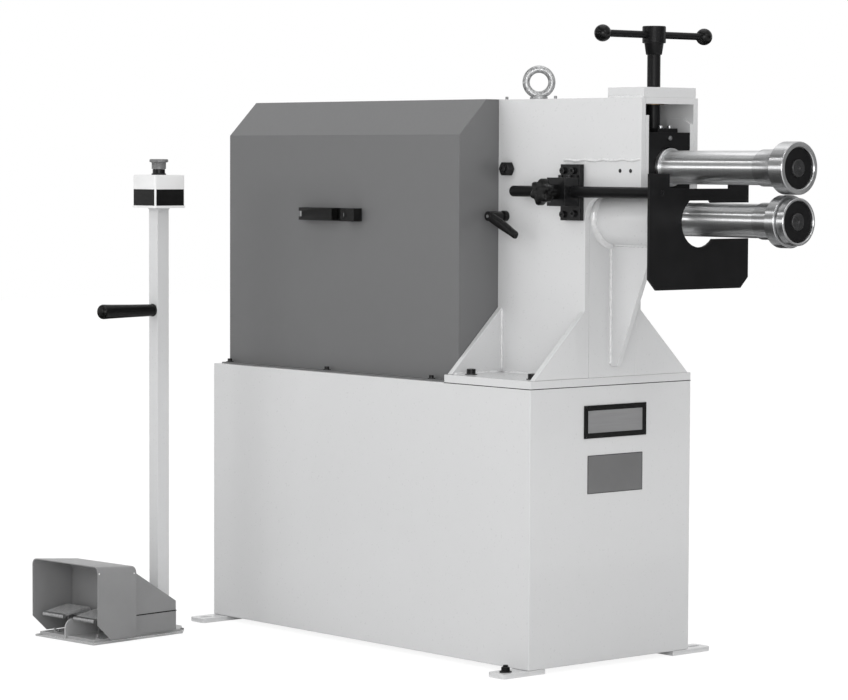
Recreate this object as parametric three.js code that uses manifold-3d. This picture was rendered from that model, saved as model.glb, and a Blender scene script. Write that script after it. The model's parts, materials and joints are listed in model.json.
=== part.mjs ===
// Electric bead roller: a sheet-steel cabinet with a welded head, two driven shafts with beading rolls,
// a screw that presses the upper roll down, a sliding stop plate, and a separate twin pedal station.
// Millimetres, +Z up. +X runs along the shafts towards the rolls and -Y is the side with the stop rod.
import * as THREE from 'three';
import { mergeVertices } from 'three/addons/utils/BufferGeometryUtils.js';
import Module from 'manifold-3d';

const wasm = await Module();
wasm.setup();

// Shared clearances
const seat = 0.3;        // gap between pieces that lie on each other
const running = 0.4;     // radial gap round a turning or sliding piece
const overrun = 2;       // how far a cut runs past the face it opens
const facets = 28;       // sides of a large round piece
const smallFacets = 16;  // sides of a small round piece

// Cabinet, feet and base plate
const cabinet = { length: 1016, width: 443, height: 550, sheet: 3, lip: 22 };
const foot = {
  length: 48, reach: 66, hold: 44, thickness: 10, corner: 9,
  slotWidth: 14, slotLength: 30,
  slotInset: 27,     // from the outer edge to the middle of the slot
};
const basePlate = { thickness: 16 };

// Welded head, on the base plate
const head = {
  length: 254, overhang: 154, width: 155, plate: 12, height: 549.9,
  throatDrop: 191.5, // from the head's top down to the throat under the yoke
  throatFillet: 45,
};
const gusset = { edge: 9, height: 131 };
const nutBlock = { length: 90, sideInset: 6, height: 19.7 };
const guide = { thickness: 8.7, topGap: 34, length: 65, farDrop: 5, cutLength: 22, cutHeight: 12 };

// Shafts, rolls and gears
const shafts = {
  drop: 234.5,       // from the head's top down to the lower shaft's axis
  spacing: 100, diameter: 65, inner: 50, nose: 36, upperTail: 40,
  tailReach: 28,     // the upper shaft's rear end, behind the middle of its pivot
  socketDepth: 40,   // the lower shaft's rear end, inside the gearbox
};
const roll = {
  gap: 0.6, reach: 340, length: 90, hubRise: 2.5, upperRim: 34, flare: 42,
  grooveDepth: 9, grooveWidth: 3, frontRim: 17, rearRim: 26, chamfer: 3,
  frontStep: 4.9,    // how far the lower roll's front ring stands below its rear rim
};
// The cap and nut that hold a roll lie in a recess of its front face
const rollCap = { diameter: 78, thickness: 5, nut: 33, nutHeight: 3, recess: 10, behind: 1 };
const gear = { teeth: 25, width: 28, inset: 92, addendum: 3.5, dedendum: 4.8 };
const collar = { rise: 3, inset: 12, length: 15 };

// Bearings
const bush = { wall: 8.5, length: 60, frontInset: 6 };
const boss = { wall: 13, rearReach: 26, frontReach: 147 };
const rib = { thickness: 12, toe: 18, toeHeight: 21, noseReach: 117 };
const rearHousing = { length: 42, height: 84, inset: 23.5, sideGap: 3.5 };
const swing = { length: 44, sideGap: 20.5, height: 88, inset: 33, pivotDrop: 5 };
const pivotBolt = {
  pin: 20, pinDepth: 14, shank: 24, nutAcross: 24, nutHeight: 17, stud: 16, studReach: 5,
};
const block = {
  length: 89.5, floor: 7, web: 12.7, bearingWall: 11, bearingWidth: 38, counterbore: 20,
  tiltRoom: 4,       // room round the collar for the shaft's tilt
  side: 0.35,        // sliding gap to each guide strip
  lip: 9,            // what holds the screw's foot down
};

// Pressure screw and its handle
const screw = { diameter: 26, neck: 18, foot: 32, footHeight: 9, neckHeight: 13 };
const screwBush = { wall: 8, drop: 1, lip: 6 };
const hub = { diameter: 46, height: 33, coneHeight: 22.5, coneTop: 38, coneDiameter: 31, rise: 139.5 };
const tee = { diameter: 14, ballSpacing: 278, ball: 33, barDrop: 17, ballDepth: 11 };

// Stop gauge, with its heights from the lower shaft's axis
const gauge = {
  rod: 22, rodInset: 12.9, rodRise: 51, tailInset: 61, reach: 77, plate: 6, side: 33,
  drop: 134, rise: 88, corner: 21, topChamfer: 10,
  notchRoom: 50, notchRise: 59.5,
  holeRoom: 16.5, holeDrop: 4.5, holeTop: 41,
  slotRise: 32, slotDrop: 37.5,
};
const bracket = { width: 54.5, height: 110.5, thickness: 12, frontInset: 58.5, drop: 56.5 };
const clampBlock = { width: 51, height: 56, depth: 38 };
const star = {
  diameter: 52, thickness: 20, lobes: 6, lobeDepth: 5, pointsPerLobe: 8,
  hub: 30, hubLength: 27, stud: 12, studLength: 13,
};
const clampLever = {
  hub: 20, hubLength: 51, collar: 22, collarLength: 9, stud: 12,
  armLength: 87, armWidth: 20, armTip: 15, armThickness: 13,
  drop: 23,          // degrees that the arm points below the horizontal
};
const eye = {
  outer: 67, hole: 37.3, inset: 35, rise: 2.5, collar: 36, collarHeight: 8, shank: 16,
  turn: 49,          // degrees that the ring is turned from the head's sides
};

// Guard and its latch
const guard = { rearInset: 8, sideInset: 37.5, chamfer: 72, rise: 0.5, sheet: 2.5, flange: 22 };
const latch = {
  inset: 255, drop: 237, length: 196, height: 27, plate: 4, depth: 23, lockBody: 43,
  pivot: 15,         // from the rear end of the plate to the lever's pivot
  spindle: 22, flange: 3, leverReach: 107, lever: 14, wall: 3, ear: 11, pin: 4, pinEnd: 3,
};

// Drive
const gearbox = { gap: 64, length: 190, width: 170, below: 104, above: 86, foot: 14 };
const motor = {
  diameter: 176, length: 300, cowl: 70, cowlRise: 5,
  fins: 12, finHeight: 6, finWidth: 5,
  boxLength: 96, boxHeight: 46, boxWidth: 84,
};
const stand = { inset: 5, width: 210, plate: 10 };

// Pedal station. Its own origin is on the floor below the middle of the hood's front edge.
const station = { fromRear: 63, fromSide: 436.1, turn: 5 };
const hood = {
  width: 214, depth: 104, top: 164, bottom: 9, sheet: 2, bend: 13,
  cutHeight: 33, cutLength: 35,
  rearDrop: 8,       // how much the hood's top falls towards its rear
  rearTaper: 9,      // how much its left wall comes in towards its rear
};
const pedalBox = { overlap: 6, length: 120, inset: 9.5, seam: 51, topDrop: 18, backRise: 21 };
const pedalBase = { side: 12, front: 2, behind: 21, plate: 4, inset: 7, tray: 6, cornerCut: 35 };
const treadle = {
  inner: 17, width: 66, front: 8, pivotInset: 10, pivotHeight: 43, plate: 5, pin: 10,
  lipHeight: 43, lip: 8, crown: 62, crownInset: 8, tail: 45, ear: 4, earReach: 9,
};
const divider = { thickness: 3, front: 0, height: 35, round: 20 };
const post = { size: 30, across: 21, gap: 3, wall: 2, height: 896, turn: -4 };
const grip = { length: 139, diameter: 25, tip: 31, height: 684, stud: 10, studDepth: 12, endShare: 0.7 };
const stopCase = { size: 78.6, flange: 5, flangeRise: 1.2, height: 64.8, corner: 4 };
const stopButton = {
  flange: 40, flangeHeight: 7, body: 30.5, bodyHeight: 14, clearance: 6.3,
  collar: 31, collarHeight: 6, neck: 27, stem: 14, bore: 12, hold: 9,
};

// Colours and finishes
const finish = (color, roughness, metalness) =>
  new THREE.MeshStandardMaterial({ color, roughness, metalness });
const finishes = {
  paint: finish(0xe4e5e6, 0.35, 0.1),
  guardPaint: finish(0x7b7c7e, 0.2, 0.2),
  hoodPaint: finish(0x8a8b8d, 0.4, 0.3),
  chrome: finish(0xc9cbcf, 0.12, 1),
  steel: finish(0x9a9da1, 0.35, 1),
  zinc: finish(0xb5b8bb, 0.45, 0.9),
  black: finish(0x17181a, 0.4, 0.3),
  plastic: finish(0x1c1d1f, 0.45, 0),
  bronze: finish(0xa9854b, 0.4, 0.9),
  motorPaint: finish(0x4a5560, 0.5, 0.3),
  buttonGrey: finish(0x6f7072, 0.4, 0),
};

// Makes one closed solid out of a geometry, with its faces pointing out
function solid(geometry) {
  const bare = geometry.index ? geometry.toNonIndexed() : geometry.clone();
  bare.deleteAttribute('normal');
  bare.deleteAttribute('uv');
  const merged = mergeVertices(bare);
  const place = merged.attributes.position;
  const index = merged.index.array;
  const corners = [new THREE.Vector3(), new THREE.Vector3(), new THREE.Vector3()];
  const kept = [];
  let volume = 0;
  for (let i = 0; i < index.length; i += 3) {
    const [a, b, c] = [index[i], index[i + 1], index[i + 2]];
    if (a === b || b === c || c === a) continue;
    kept.push(a, b, c);
    [a, b, c].forEach((k, j) => corners[j].fromBufferAttribute(place, k));
    volume += corners[0].dot(corners[1].cross(corners[2]));
  }
  if (volume < 0) kept.reverse();
  return new wasm.Manifold(new wasm.Mesh({
    numProp: 3,
    vertProperties: Float32Array.from(place.array),
    triVerts: Uint32Array.from(kept),
  }));
}

const cut = (body, ...tools) => tools.reduce((left, tool) => left.subtract(solid(tool)), solid(body));
const cutSolid = (body, ...tools) => tools.reduce((left, tool) => left.subtract(solid(tool)), body);
const join = (first, ...rest) => rest.reduce((all, next) => all.add(solid(next)), solid(first));

// Gives a solid back as a geometry
function shape(body) {
  const mesh = body.getMesh();
  const geometry = new THREE.BufferGeometry();
  const positions = [];
  for (let i = 0; i < mesh.numVert; i++) {
    const start = i * mesh.numProp;
    positions.push(...mesh.vertProperties.slice(start, start + 3));
  }
  geometry.setAttribute('position', new THREE.Float32BufferAttribute(positions, 3));
  geometry.setIndex(Array.from(mesh.triVerts));
  geometry.computeVertexNormals();
  return geometry;
}

// Adds one named sub-part to a group
function piece(group, name, body, material, x = 0, y = 0, z = 0) {
  const geometry = body.isBufferGeometry ? shape(solid(body)) : shape(body);
  const mesh = new THREE.Mesh(geometry, material.clone());
  mesh.name = name;
  mesh.position.set(x, y, z);
  group.add(mesh);
  return mesh;
}

// A box from its low corner
const box = (x, y, z, lx, ly, lz) =>
  new THREE.BoxGeometry(lx, ly, lz).translate(x + lx / 2, y + ly / 2, z + lz / 2);

// A box that is centred across X and Y and stands on z
const standing = (lx, ly, lz, x = 0, y = 0, z = 0) =>
  new THREE.BoxGeometry(lx, ly, lz).translate(x, y, z + lz / 2);

const outline = (points) => new THREE.Shape(points.map(([u, v]) => new THREE.Vector2(u, v)));

// Plates with an outline: across X from (y, z) points, across Y from (x, z) points, across Z from (x, y)
const plateZ = (points, thickness) =>
  new THREE.ExtrudeGeometry(outline(points), { depth: thickness, bevelEnabled: false });
const plateX = (points, thickness) =>
  plateZ(points.map(([y, z]) => [-z, y]), thickness).rotateY(Math.PI / 2);
const plateY = (points, thickness) =>
  plateZ(points, thickness).rotateX(Math.PI / 2).translate(0, thickness, 0);

// A turned piece along an axis from [place, diameter] steps, closed on the axis at both ends
function turned(steps, axis, sides = facets) {
  const profile = steps.map(([place, diameter]) => new THREE.Vector2(diameter / 2, place));
  profile.unshift(new THREE.Vector2(0, steps[0][0]));
  profile.push(new THREE.Vector2(0, steps[steps.length - 1][0]));
  const geometry = new THREE.LatheGeometry(profile, sides);
  if (axis === 'x') geometry.rotateZ(-Math.PI / 2);
  if (axis === 'z') geometry.rotateX(Math.PI / 2);
  return geometry;
}

const rod = (diameter, start, end, axis, sides = facets) =>
  turned([[start, diameter], [end, diameter]], axis, sides);

// The diameter of a faceted bore whose flats stay clear of a round piece
const clearBore = (diameter, gap = running, sides = facets) =>
  (diameter + 2 * gap) / Math.cos(Math.PI / sides);

// Points of an arc, from one angle to another in degrees
function arc(u, v, radius, from, to, steps) {
  const points = [];
  for (let i = 0; i <= steps; i++) {
    const angle = THREE.MathUtils.degToRad(from + ((to - from) * i) / steps);
    points.push([u + radius * Math.cos(angle), v + radius * Math.sin(angle)]);
  }
  return points;
}

const hexagon = (across) => arc(0, 0, across / Math.sqrt(3), 0, 360, 6).slice(1);

// A round-ended slot's outline along Y
const slotOutline = (width, length) => [
  ...arc(0, (length - width) / 2, width / 2, 0, 180, 6),
  ...arc(0, -(length - width) / 2, width / 2, 180, 360, 6),
];

// Levels and places of the machine that follow from the sizes
const cabinetTop = foot.thickness + cabinet.height;
const headBase = cabinetTop + seat + basePlate.thickness + seat;
const headTop = headBase + head.height;
const yokeBottom = headTop - head.throatDrop;
const headFront = cabinet.length / 2;
const headRear = headFront - head.length;
const yokeFront = headFront + head.overhang;
const insideHead = head.width / 2 - head.plate;
const screwAt = yokeFront - nutBlock.length / 2;
const lowerAxis = headTop - shafts.drop;
const upperAxis = lowerAxis + shafts.spacing;
const pivotHeight = upperAxis - swing.pivotDrop;
const pivotAt = headRear + swing.inset;
const rearHousingAt = headRear + rearHousing.inset;
const eyeAt = headRear + eye.inset;
const rollFront = yokeFront + roll.reach;
const shoulder = rollFront - roll.length;
const collarRear = yokeFront - collar.inset;
const gearRear = headRear + gear.inset;
const gearboxFront = headRear - gearbox.gap;
const guardBase = cabinetTop + seat;
const guardTop = headTop + guard.rise;
const guardRear = guard.rearInset - cabinet.length / 2;
const guardWidth = cabinet.width - 2 * guard.sideInset;

// Diameters and widths that follow from the pieces inside or outside them
const bossBore = shafts.diameter + 2 * bush.wall;
const bossDiameter = bossBore + 2 * boss.wall;
const bossRear = headFront - boss.rearReach;
const bossFront = headFront + boss.frontReach;
const bearingDiameter = shafts.inner + 2 * block.bearingWall;
const screwBushDiameter = screw.diameter + 2 * screwBush.wall;
const swingWidth = 2 * (insideHead - swing.sideGap);
const rearHousingWidth = 2 * (insideHead - rearHousing.sideGap);
const footSlotHeight = screw.footHeight + 2 * running;
const blockTop = bearingDiameter / 2 + block.web + footSlotHeight + block.lip;
const rodOut = head.width / 2 + seat + bracket.thickness + seat + gauge.rodInset;
const rodHeight = lowerAxis + gauge.rodRise;
const stopAt = yokeFront + gauge.reach;
const collarDiameter = shafts.diameter + 2 * collar.rise;

const machine = new THREE.Group();

function addCabinet() {
  const { length, width, height, sheet, lip } = cabinet;
  const shell = cut(
    standing(length, width, height),
    standing(length - 2 * sheet, width - 2 * sheet, height - 2 * sheet, 0, 0, sheet),
    standing(length - 2 * lip, width - 2 * lip, sheet + 2 * overrun, 0, 0, -overrun),
  );
  piece(machine, 'cabinet_shell', shell, finishes.paint, 0, 0, foot.thickness);
}

function addFeet() {
  const { length, reach, hold, thickness, corner, slotWidth, slotLength, slotInset } = foot;
  const plate = plateZ([
    [0, -hold],
    [length, -hold],
    ...arc(length - corner, reach - corner, corner, 0, 90, 4),
    ...arc(corner, reach - corner, corner, 90, 180, 4),
  ], thickness - seat);
  const slot = plateZ(slotOutline(slotWidth, slotLength), thickness + 2 * overrun)
    .translate(length / 2, reach - slotInset, -overrun);
  for (const [end, alongX] of [['front', 1], ['rear', -1]]) {
    for (const [side, acrossY] of [['near', -1], ['far', 1]]) {
      const body = shape(cut(plate, slot));
      body.translate(-length, 0, 0).scale(alongX, acrossY, 1);
      piece(machine, `foot_${end}_${side}`, body, finishes.paint,
        (alongX * cabinet.length) / 2, (acrossY * cabinet.width) / 2, 0);
    }
  }
}

function addBasePlate() {
  const plate = standing(head.length, cabinet.width, basePlate.thickness);
  piece(machine, 'head_base_plate', plate, finishes.paint,
    headRear + head.length / 2, 0, cabinetTop + seat);
}

// One side of the head: a plate with a rounded throat and its front and rear gussets
function sidePlate(side) {
  const { height, throatDrop } = head;
  const throat = height - throatDrop;
  const reach = (cabinet.width - head.width) / 2 - gusset.edge;
  const plate = plateY([
    [0, 0],
    [head.length, 0],
    ...arc(head.length + head.throatFillet, throat - head.throatFillet, head.throatFillet, 180, 90, 6),
    [head.length + head.overhang, throat],
    [head.length + head.overhang, height],
    [0, height],
  ], head.plate).translate(0, -head.plate, 0);
  const triangle = plateX([
    [-head.plate / 2, 0],
    [reach, 0],
    [0, gusset.height],
    [-head.plate / 2, gusset.height],
  ], head.plate);
  const body = shape(join(plate, triangle, triangle.clone().translate(head.length - head.plate, 0, 0)));
  if (side < 0) body.scale(1, side, 1);
  return body;
}

function addHead() {
  const half = head.width / 2;
  piece(machine, 'side_plate_near', sidePlate(-1), finishes.paint, headRear, -half, headBase);
  piece(machine, 'side_plate_far', sidePlate(1), finishes.paint, headRear, half, headBase);

  const inner = 2 * (insideHead - seat);
  const frontHeight = yokeBottom - headBase;
  const front = cut(
    standing(head.plate, inner, frontHeight, head.plate / 2),
    rod(clearBore(bossDiameter, seat), -overrun, head.plate + overrun, 'x')
      .translate(0, 0, lowerAxis - headBase),
  );
  piece(machine, 'head_front_plate', front, finishes.paint, headFront - head.plate, 0, headBase);

  const topLength = head.length + head.overhang;
  const top = cut(
    box(0, -inner / 2, 0, topLength, inner, head.plate),
    rod(clearBore(screwBushDiameter, seat), -overrun, head.plate + overrun, 'z')
      .translate(screwAt - headRear, 0, 0),
    rod(clearBore(eye.shank, seat, smallFacets), -overrun, head.plate + overrun, 'z', smallFacets)
      .translate(eyeAt - headRear, 0, 0),
  );
  piece(machine, 'head_top_plate', top, finishes.paint, headRear, 0, headTop - head.plate);

  const cap = cut(
    standing(nutBlock.length, head.width - 2 * nutBlock.sideInset, nutBlock.height),
    rod(clearBore(screwBushDiameter, seat), -overrun, nutBlock.height + overrun, 'z'),
  );
  piece(machine, 'screw_nut_block', cap, finishes.paint, screwAt, 0, headTop + seat);

  const bushTop = headTop + seat + nutBlock.height - screwBush.lip;
  const bushBottom = headTop - head.plate - screwBush.drop;
  const bronze = cut(
    rod(screwBushDiameter, bushBottom, bushTop, 'z'),
    rod(clearBore(screw.diameter), bushBottom - overrun, bushTop + overrun, 'z'),
  );
  piece(machine, 'screw_bush', bronze, finishes.bronze, screwAt);

  for (const [name, side] of [['near', -1], ['far', 1]]) {
    const high = headTop - guide.topGap - yokeBottom;
    const outer = side > 0
      ? [[0, high - guide.farDrop - guide.cutHeight], [-guide.cutLength, high - guide.farDrop],
        [-guide.length, high - guide.farDrop]]
      : [[0, high], [-guide.length, high]];
    const strip = plateY([[-guide.length, 0], [0, 0], ...outer], guide.thickness);
    const middle = side * (insideHead - seat - guide.thickness / 2);
    piece(machine, `guide_strip_${name}`, strip, finishes.paint,
      yokeFront, middle - guide.thickness / 2, yokeBottom);
  }
}

function addLowerBearings() {
  const length = bossFront - bossRear;
  const ribTop = bossDiameter / 2 + seat;
  const ribBottom = lowerAxis - headBase - rib.toeHeight;
  const ribStart = headFront + seat - bossRear;
  const web = plateY([
    [ribStart, -ribBottom],
    [ribStart + rib.toe, -ribBottom],
    [ribStart + rib.noseReach, -ribTop],
    [ribStart + rib.noseReach, -bossBore / 2 - (bossDiameter - bossBore) / 4],
    [ribStart, -bossBore / 2 - (bossDiameter - bossBore) / 4],
  ], rib.thickness).translate(0, -rib.thickness / 2, 0);
  const housing = cutSolid(join(rod(bossDiameter, 0, length, 'x'), web),
    rod(bossBore, -overrun, length + overrun, 'x'));
  piece(machine, 'lower_bearing_housing', housing, finishes.paint, bossRear, 0, lowerAxis);

  const liner = cut(
    rod(bossBore * Math.cos(Math.PI / facets) - 2 * seat, 0, bush.length, 'x'),
    rod(clearBore(shafts.diameter), -overrun, bush.length + overrun, 'x'),
  );
  piece(machine, 'lower_front_bush', liner, finishes.bronze,
    bossFront - bush.frontInset - bush.length, 0, lowerAxis);

  // The rear housing carries the stud of the clamping lever, which runs out through the side plate
  const grip = clampLever.hubLength - clampLever.collarLength - overrun;
  const studOut = (head.width - rearHousingWidth) / 2 + grip;
  const wall = -rearHousingWidth / 2;
  const rear = cutSolid(
    join(
      new THREE.BoxGeometry(rearHousing.length, rearHousingWidth, rearHousing.height),
      rod(clampLever.stud, wall - studOut, wall + overrun, 'y', smallFacets),
    ),
    rod(clearBore(shafts.inner), -rearHousing.length, rearHousing.length, 'x'),
  );
  piece(machine, 'lower_rear_housing', rear, finishes.steel, rearHousingAt, 0, lowerAxis);
}

// Cuts the holes for the pivot bolts and the clamping stud through a side plate, once both are known
function drillSidePlates() {
  for (const [name, side] of [['near', -1], ['far', 1]]) {
    const mesh = machine.getObjectByName(`side_plate_${name}`);
    const holes = [
      [pivotAt, pivotHeight, pivotBolt.shank],
      [rearHousingAt, lowerAxis, clampLever.stud],
    ];
    let body = solid(mesh.geometry);
    for (const [x, z, diameter] of side < 0 ? holes : holes.slice(0, 1)) {
      const drill = rod(clearBore(diameter, seat, smallFacets), -head.plate - overrun, head.plate + overrun,
        'y', smallFacets).translate(x - headRear, 0, z - headBase);
      body = body.subtract(solid(drill));
    }
    mesh.geometry = shape(body);
  }
}

// A pivot bolt from outside: nut and stud end, a shank in the side plate and a pin in the swing housing
function addPivotBolts() {
  const half = head.width / 2;
  const pinEnd = half - swingWidth / 2 + pivotBolt.pinDepth;
  const shankEnd = head.plate + (insideHead - swingWidth / 2) / 2;
  const nut = plateY(hexagon(pivotBolt.nutAcross), pivotBolt.nutHeight)
    .translate(0, -pivotBolt.nutHeight - seat, 0);
  const bolt = join(
    nut,
    rod(pivotBolt.shank, -seat - overrun, shankEnd, 'y', smallFacets),
    rod(pivotBolt.pin, 0, pinEnd, 'y', smallFacets),
    rod(pivotBolt.stud, -pivotBolt.nutHeight - pivotBolt.studReach, 0, 'y', smallFacets),
  );
  for (const [name, side] of [['near', -1], ['far', 1]]) {
    piece(machine, `pivot_bolt_${name}`, shape(bolt).scale(1, -side, 1), finishes.black,
      pivotAt, side * half, pivotHeight);
  }
}

function addSwing() {
  const { length, height, pivotDrop } = swing;
  const body = new THREE.BoxGeometry(length, swingWidth, height);
  const pinHole = clearBore(pivotBolt.pin, running, smallFacets);
  const housing = cut(
    body,
    rod(clearBore(shafts.upperTail), -length, length, 'x').translate(0, 0, pivotDrop),
    rod(pinHole, -swingWidth, pivotBolt.pinDepth + running - swingWidth / 2, 'y', smallFacets),
    rod(pinHole, swingWidth / 2 - pivotBolt.pinDepth - running, swingWidth, 'y', smallFacets),
  );
  piece(machine, 'swing_housing', housing, finishes.steel, pivotAt, 0, pivotHeight);

  // A ring with a spherical outside, so that the shaft may tilt in the slide block
  const radius = bearingDiameter / 2;
  const half = block.bearingWidth / 2;
  const steps = [];
  for (let i = 0; i <= 6; i++) {
    const place = -half + (block.bearingWidth * i) / 6;
    steps.push([place, 2 * Math.sqrt(radius * radius - place * place)]);
  }
  const ring = cut(turned(steps, 'x'), rod(clearBore(shafts.inner), -block.length, block.length, 'x'));
  piece(machine, 'upper_front_bearing', ring, finishes.steel, screwAt, 0, upperAxis);
}

function gearSolid() {
  const radius = shafts.spacing / 2;
  const root = radius - gear.dedendum;
  const tip = radius + gear.addendum;
  const toothShares = [[root, -0.29], [tip, -0.12], [tip, 0.12], [root, 0.29]];
  const pitch = (2 * Math.PI) / gear.teeth;
  const points = [];
  for (let i = 0; i < gear.teeth; i++) {
    for (const [distance, share] of toothShares) {
      const angle = (i + share) * pitch;
      points.push([distance * Math.sin(angle), distance * Math.cos(angle)]);
    }
  }
  return cut(plateX(points.reverse(), gear.width),
    rod(clearBore(shafts.inner, seat), -overrun, gear.width + overrun, 'x'));
}

const rollDiameter = shafts.spacing - roll.gap;
const hubDiameter = shafts.diameter + 2 * roll.hubRise;

// A roll's bore and the recess for its cap
const rollBores = () => [
  rod(clearBore(shafts.nose, seat), 0, rollFront + overrun, 'x'),
  rod(clearBore(rollCap.diameter, seat), rollFront - rollCap.recess, rollFront + overrun, 'x'),
];

function addLowerShaft() {
  const group = new THREE.Group();
  group.position.set(0, 0, lowerAxis);
  machine.add(group);
  const shaft = turned([
    [gearboxFront - shafts.socketDepth, shafts.inner],
    [bossRear, shafts.inner],
    [bossRear, shafts.diameter],
    [shoulder, shafts.diameter],
    [shoulder, shafts.nose],
    [rollFront - rollCap.recess - rollCap.behind, shafts.nose],
  ], 'x');
  piece(group, 'lower_shaft', shaft, finishes.chrome);

  const grooveFront = rollFront - roll.frontRim;
  const grooveRear = grooveFront - roll.grooveWidth;
  const rearFace = grooveRear - roll.rearRim;
  const groove = rollDiameter - 2 * roll.grooveDepth;
  const ring = rollDiameter - 2 * roll.frontStep;
  const wheel = cut(
    turned([
      [shoulder + seat, hubDiameter],
      [rearFace, hubDiameter],
      [rearFace, rollDiameter - 2 * roll.chamfer],
      [rearFace + roll.chamfer, rollDiameter],
      [grooveRear, rollDiameter],
      [grooveRear, groove],
      [grooveFront, groove],
      [grooveFront, ring],
      [rollFront, ring],
    ], 'x'),
    ...rollBores(),
  );
  piece(group, 'lower_roll', wheel, finishes.chrome);
  piece(group, 'lower_roll_cap', capGeometry(), finishes.black, rollFront - rollCap.recess + seat);
  piece(group, 'lower_gear', gearSolid(), finishes.steel, gearRear);
}

// The black washer and nut that hold a roll on its shaft
const capGeometry = () => turned([
  [0, rollCap.diameter],
  [rollCap.thickness, rollCap.diameter],
  [rollCap.thickness, rollCap.nut],
  [rollCap.thickness + rollCap.nutHeight, rollCap.nut],
], 'x');

function addUpperShaft() {
  const group = new THREE.Group();
  group.position.set(0, 0, upperAxis);
  machine.add(group);
  const journalEnd = pivotAt + swing.length / 2 + seat;
  const shaft = turned([
    [pivotAt - shafts.tailReach, shafts.upperTail],
    [journalEnd, shafts.upperTail],
    [journalEnd, shafts.inner],
    [collarRear, shafts.inner],
    [collarRear, collarDiameter],
    [collarRear + collar.length, collarDiameter],
    [collarRear + collar.length, shafts.diameter],
    [shoulder, shafts.diameter],
    [shoulder, shafts.nose],
    [rollFront - rollCap.recess - rollCap.behind, shafts.nose],
  ], 'x');
  piece(group, 'upper_shaft', shaft, finishes.chrome);

  // The hub flares out to the rim in a quarter of an ellipse
  const rimRear = rollFront - roll.upperRim;
  const flare = [];
  const rise = rollDiameter - hubDiameter;
  for (let i = 0; i <= 6; i++) {
    const angle = ((Math.PI / 2) * i) / 6;
    flare.push([
      rimRear - roll.flare * (1 - Math.sin(angle)),
      hubDiameter + rise * (1 - Math.cos(angle)),
    ]);
  }
  const wheel = cut(
    turned([
      [shoulder + seat, hubDiameter],
      ...flare,
      [rollFront, rollDiameter],
    ], 'x'),
    ...rollBores(),
  );
  piece(group, 'upper_roll', wheel, finishes.chrome);
  piece(group, 'upper_roll_cap', capGeometry(), finishes.black, rollFront - rollCap.recess + seat);
  piece(group, 'upper_gear', gearSolid(), finishes.steel, gearRear);
}

// The block that carries the upper shaft's front bearing. The screw's foot slides into its T-slot from the
// rear, so the screw can press the block down and also lift it.
function addSlideBlock() {
  const { length, floor, counterbore, tiltRoom, lip } = block;
  const width = 2 * (insideHead - seat - guide.thickness - block.side);
  const below = bearingDiameter / 2 + floor;
  const height = blockTop + below;
  const slotBottom = blockTop - lip - footSlotHeight;
  const footBore = clearBore(screw.foot);
  const neckBore = clearBore(screw.neck);
  const body = cut(
    box(-length / 2, -width / 2, -below, length, width, height),
    rod(clearBore(bearingDiameter, seat), -length, length, 'x'),
    rod(collarDiameter + 2 * tiltRoom, length / 2 - counterbore, length, 'x'),
    rod(footBore, slotBottom, slotBottom + footSlotHeight, 'z'),
    rod(neckBore, slotBottom, blockTop + overrun, 'z'),
    box(-length, -footBore / 2, slotBottom, length, footBore, footSlotHeight),
    box(-length, -neckBore / 2, slotBottom, length, neckBore, height),
  );
  piece(machine, 'slide_block', body, finishes.black, screwAt, 0, upperAxis);
}

function addScrew() {
  const group = new THREE.Group();
  const footLevel = upperAxis + blockTop - block.lip - running - screw.footHeight;
  group.position.set(screwAt, 0, footLevel);
  machine.add(group);
  const top = headTop + hub.rise - footLevel;
  const hubBottom = top - hub.height - hub.coneHeight;
  const neckTop = screw.footHeight + screw.neckHeight;
  const spindle = turned([
    [0, screw.foot],
    [screw.footHeight, screw.foot],
    [screw.footHeight, screw.neck],
    [neckTop, screw.neck],
    [neckTop + (screw.diameter - screw.neck) / 2, screw.diameter],
    [top - hub.height - seat, screw.diameter],
  ], 'z');
  piece(group, 'pressure_screw', spindle, finishes.black);

  const barLevel = top - tee.barDrop;
  const collarSolid = cut(
    turned([
      [hubBottom, hub.coneDiameter],
      [top - hub.height, hub.coneTop],
      [top - hub.height, hub.diameter],
      [top, hub.diameter],
    ], 'z'),
    rod(clearBore(screw.diameter, seat), hubBottom - overrun, top - hub.height, 'z'),
    rod(clearBore(tee.diameter, seat, smallFacets), -hub.diameter, hub.diameter, 'y', smallFacets)
      .translate(0, 0, barLevel),
  );
  piece(group, 'screw_hub', collarSolid, finishes.black);

  const reach = tee.ballSpacing / 2;
  const barEnd = reach - tee.ball / 2 + tee.ballDepth;
  const bar = rod(tee.diameter, -barEnd, barEnd, 'y', smallFacets);
  piece(group, 'tee_bar', bar, finishes.black, 0, 0, barLevel);
  for (const [name, side] of [['near', -1], ['far', 1]]) {
    const ball = shape(cut(
      new THREE.SphereGeometry(tee.ball / 2, smallFacets, smallFacets / 2),
      rod(clearBore(tee.diameter, seat, smallFacets), -tee.ball, tee.ballDepth + seat - tee.ball / 2,
        'y', smallFacets),
    ));
    piece(group, `ball_knob_${name}`, ball.scale(1, side, 1), finishes.plastic, 0, side * reach, barLevel);
  }
}

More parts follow.
